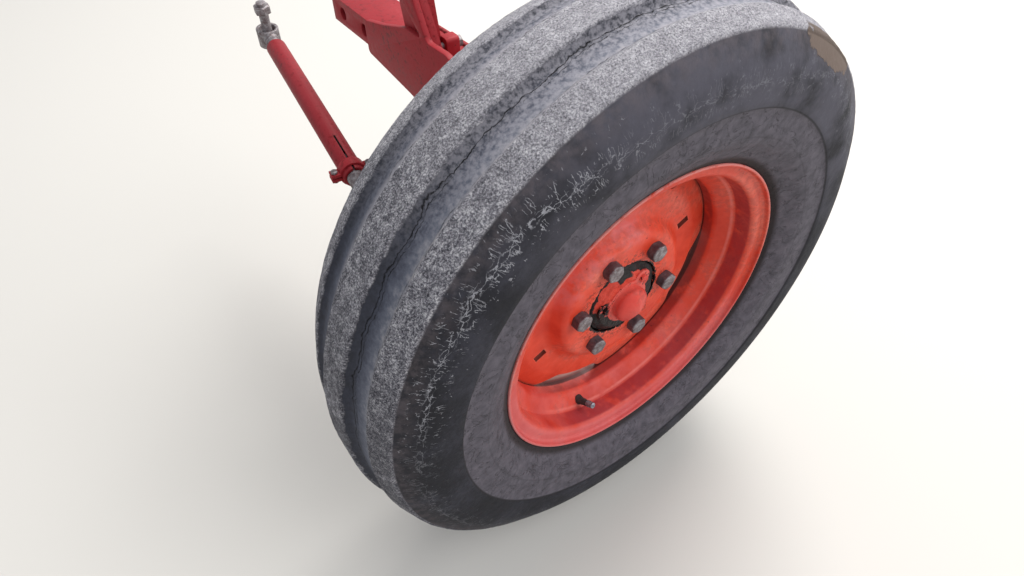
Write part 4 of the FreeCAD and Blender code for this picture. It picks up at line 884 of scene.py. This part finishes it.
# Welds: fillets laid by hand in short ripples and painted over, where the axle's plates meet and
# where the disc's lobes meet the rim. A zinc plated grease nipple is screwed into the housing.
KINGPIN_LEAN = 7.0
AXLE_AT = WHEEL + Vector((0, 215.0 + 148.0 * math.tan(math.radians(KINGPIN_LEAN)), 148.0)) * MM
HOUSING_RADIUS = 40.0
BEAM_TOP = 22.0
WELD_SIZE = 3.5
WELD_STEP = 0.9
WELD_LENGTHWISE = 0.75
WELD_SWELL = (7.0, 0.35)
WELD_SEAMS = [  # ends as forward, inboard of the kingpin and over the beam's middle
    ((-39, 187, 22), (-39, 317, 22)), ((-39, 40, 22), (-39, 92, 22)), ((39, 40, 22), (39, 104, 22)),
    ((40, 104, 24), (41, 317, 19)), ((-41, 320.5, -20), (-41, 320.5, 20)), ((41, 320.5, -20), (41, 320.5, 16)),
    ((-41, -8, -66), (-38, 26, 49)), ((41, -8, -66), (38, 26, 49)), ((-27, 93, 22), (-27, 137, 22)),
    ((-9, 155, 22), (-9, 184, 22)), ((-38, 186, 22), (-11, 186, 22)), ((12, 130, 22), (12, 152, 22)),
    ((-8, 128, 22), (11, 128, 22)), ((-8, 154, 22), (11, 154, 22)),
]
HOUSING_WELD = (-60, 60, 10)
HOUSING_WELD_INBOARD = 3.0
LOBE_WELD = (-23, 23, 2)
LOBE_WELD_RADIUS = 177.0
LOBE_WELD_INBOARD = 4.0
NIPPLE = [
    (0.01, -3.0, 0), (4.6, -3.0, 0), (4.6, 3.0, 0.6), (2.9, 3.8, 0.3), (2.9, 6.0, 0.4), (3.6, 7.4, 0.6),
    (2.0, 10.4, 0.4), (0.01, 10.8, 0),
]
NIPPLE_TURN = 24
NIPPLE_OUT = Vector((-0.5, -0.866, 0))
NIPPLE_HIGH = -13.0


def weld(shape, start, end):
    """Lays a run of overlapping ripples from one point to another."""
    run = end - start
    steps = max(1, round(run.length / MM / (WELD_STEP * WELD_SIZE)))
    turn = run.to_track_quat("Z", "Y").to_matrix().to_4x4() @ Matrix.Diagonal((1, 1, WELD_LENGTHWISE, 1))
    for step in range(steps):
        place = start + run * step / steps
        swell = 1 + WELD_SWELL[1] * noise.noise(place / (WELD_SWELL[0] * MM))
        bmesh.ops.create_icosphere(shape, subdivisions=2, radius=WELD_SIZE * MM * swell,
                                   matrix=Matrix.Translation(place) @ turn)


shape = bmesh.new()
for start, end in WELD_SEAMS:
    weld(shape, AXLE_AT + Vector(start) * MM, AXLE_AT + Vector(end) * MM)
for bearing in range(*HOUSING_WELD):
    ends = [(HOUSING_RADIUS * math.sin(math.radians(turn)),
             HOUSING_RADIUS * math.cos(math.radians(turn)) + HOUSING_WELD_INBOARD, BEAM_TOP)
            for turn in (bearing, bearing + HOUSING_WELD[2])]
    weld(shape, AXLE_AT + Vector(ends[0]) * MM, AXLE_AT + Vector(ends[1]) * MM)
piece("axle_welds", shape, forged_crimson, "axle", "axle_paint", sharp=60)

shape = bmesh.new()
for lobe in range(LOBE_COUNT):
    for bearing in range(*LOBE_WELD):
        middle = LOBE_ANGLE + lobe * LOBE_PITCH + bearing
        ends = [at_angle(turn) * LOBE_WELD_RADIUS + Vector((0, LOBE_WELD_INBOARD, 0))
                for turn in (middle, middle + LOBE_WELD[2])]
        weld(shape, WHEEL + ends[0] * MM, WHEEL + ends[1] * MM)
piece("lobe_welds", shape, rim_enamel, "wheel", "wheel_paint", sharp=60)

stand = (Matrix.Translation(AXLE_AT + (NIPPLE_OUT * HOUSING_RADIUS + Vector((0, 0, NIPPLE_HIGH))) * MM)
         @ NIPPLE_OUT.to_track_quat("Z", "Y").to_matrix().to_4x4())
piece("housing_nipple", turned(NIPPLE, NIPPLE_TURN, stand), zinc, "axle", "bolt_steel")

# Tie rod: a tube with a forged ball end screwed into each end. The outer end is slit and held by a
# clamp, and a rubber boot covers the ball. The slit goes on as a matt black line in the enamel,
# painted shade that stands for the open gap.
ROD_BALL = WHEEL + Vector((-183.0, 290.54, -0.21)) * MM
ROD_ALONG = Vector((0.10745, 0.98906, 0.10106))
ROD_BESIDE = Vector((-0.99415, 0.10800, 0))
ROD_SLIT_END = 202.0
ROD_SLIT_WIDE = 3.0
THREADS = ((72.0, 112.0), (525.0, 545.0))
THREAD_PITCH = 2.0
THREAD_ROOT = 13.3
THREAD_CREST = 14.2
THREAD_TURN = 40

tube_enamel, tree, shader = enamel("crimson_enamel_on_drawn_tube",
                                   "560F13", "751217", "8E282F", "40201E", "301816", 0.42, 0.15)
place = add(tree, "TexCoord", {}, out="Object")
from_ball = add(tree, "VectorMath", {0: place, 1: ROD_BALL}, operation="SUBTRACT")
from_ball = add(tree, "VectorMath", {0: from_ball, "Scale": 1 / MM}, operation="SCALE")
along, beside, above = (add(tree, "VectorMath", {0: from_ball, 1: axis}, out="Value", operation="DOT_PRODUCT")
                        for axis in (ROD_ALONG, ROD_BESIDE, ROD_ALONG.cross(ROD_BESIDE)))
# Painted shade: the slit's gap goes on as a matt black line along the tube's upper side
slit = product(tree, within(tree, along, 0.0, ROD_SLIT_END, 1.0),
               within(tree, beside, -ROD_SLIT_WIDE / 2, ROD_SLIT_WIDE / 2, 0.3), over(tree, above, 0.0, 1.0))
coat(tree, shader, (slit, "0A0606", 1.0))
rough = shader.inputs["Roughness"].links[0].from_socket
tree.links.new(any_of(tree, rough, slit), shader.inputs["Roughness"])
relief(tree, shader, (product(tree, slit, -1.0), 0.3))
softened("rod_tube", tube_enamel, 0.8)
softened("rod_clamp", crimson, 0.8)
stand = Matrix.Translation(ROD_BALL) @ ROD_ALONG.to_track_quat("Z", "Y").to_matrix().to_4x4()
for number, (start, end) in enumerate(THREADS):
    ridges = [(THREAD_ROOT if step % 2 else THREAD_CREST, start + step * THREAD_PITCH / 2, 0)
              for step in range(1, int(2 * (end - start) / THREAD_PITCH))]
    thread = [(0.01, start, 0), (THREAD_ROOT, start, 0)] + ridges + [(0.01, end, 0)]
    thread = turned(thread, THREAD_TURN, stand)
    piece(f"rod_thread_{number}", thread, bolt_steel, "tie_rod", "bolt_steel", sharp=20)
for name in ("rod_end", "inner_rod_end", "ball_stud", "inner_ball_stud", "clamp_bolts"):
    softened(name, bolt_steel, 0.8)
nodes["rod_boot"].material_slots[0].material = moulded_rubber
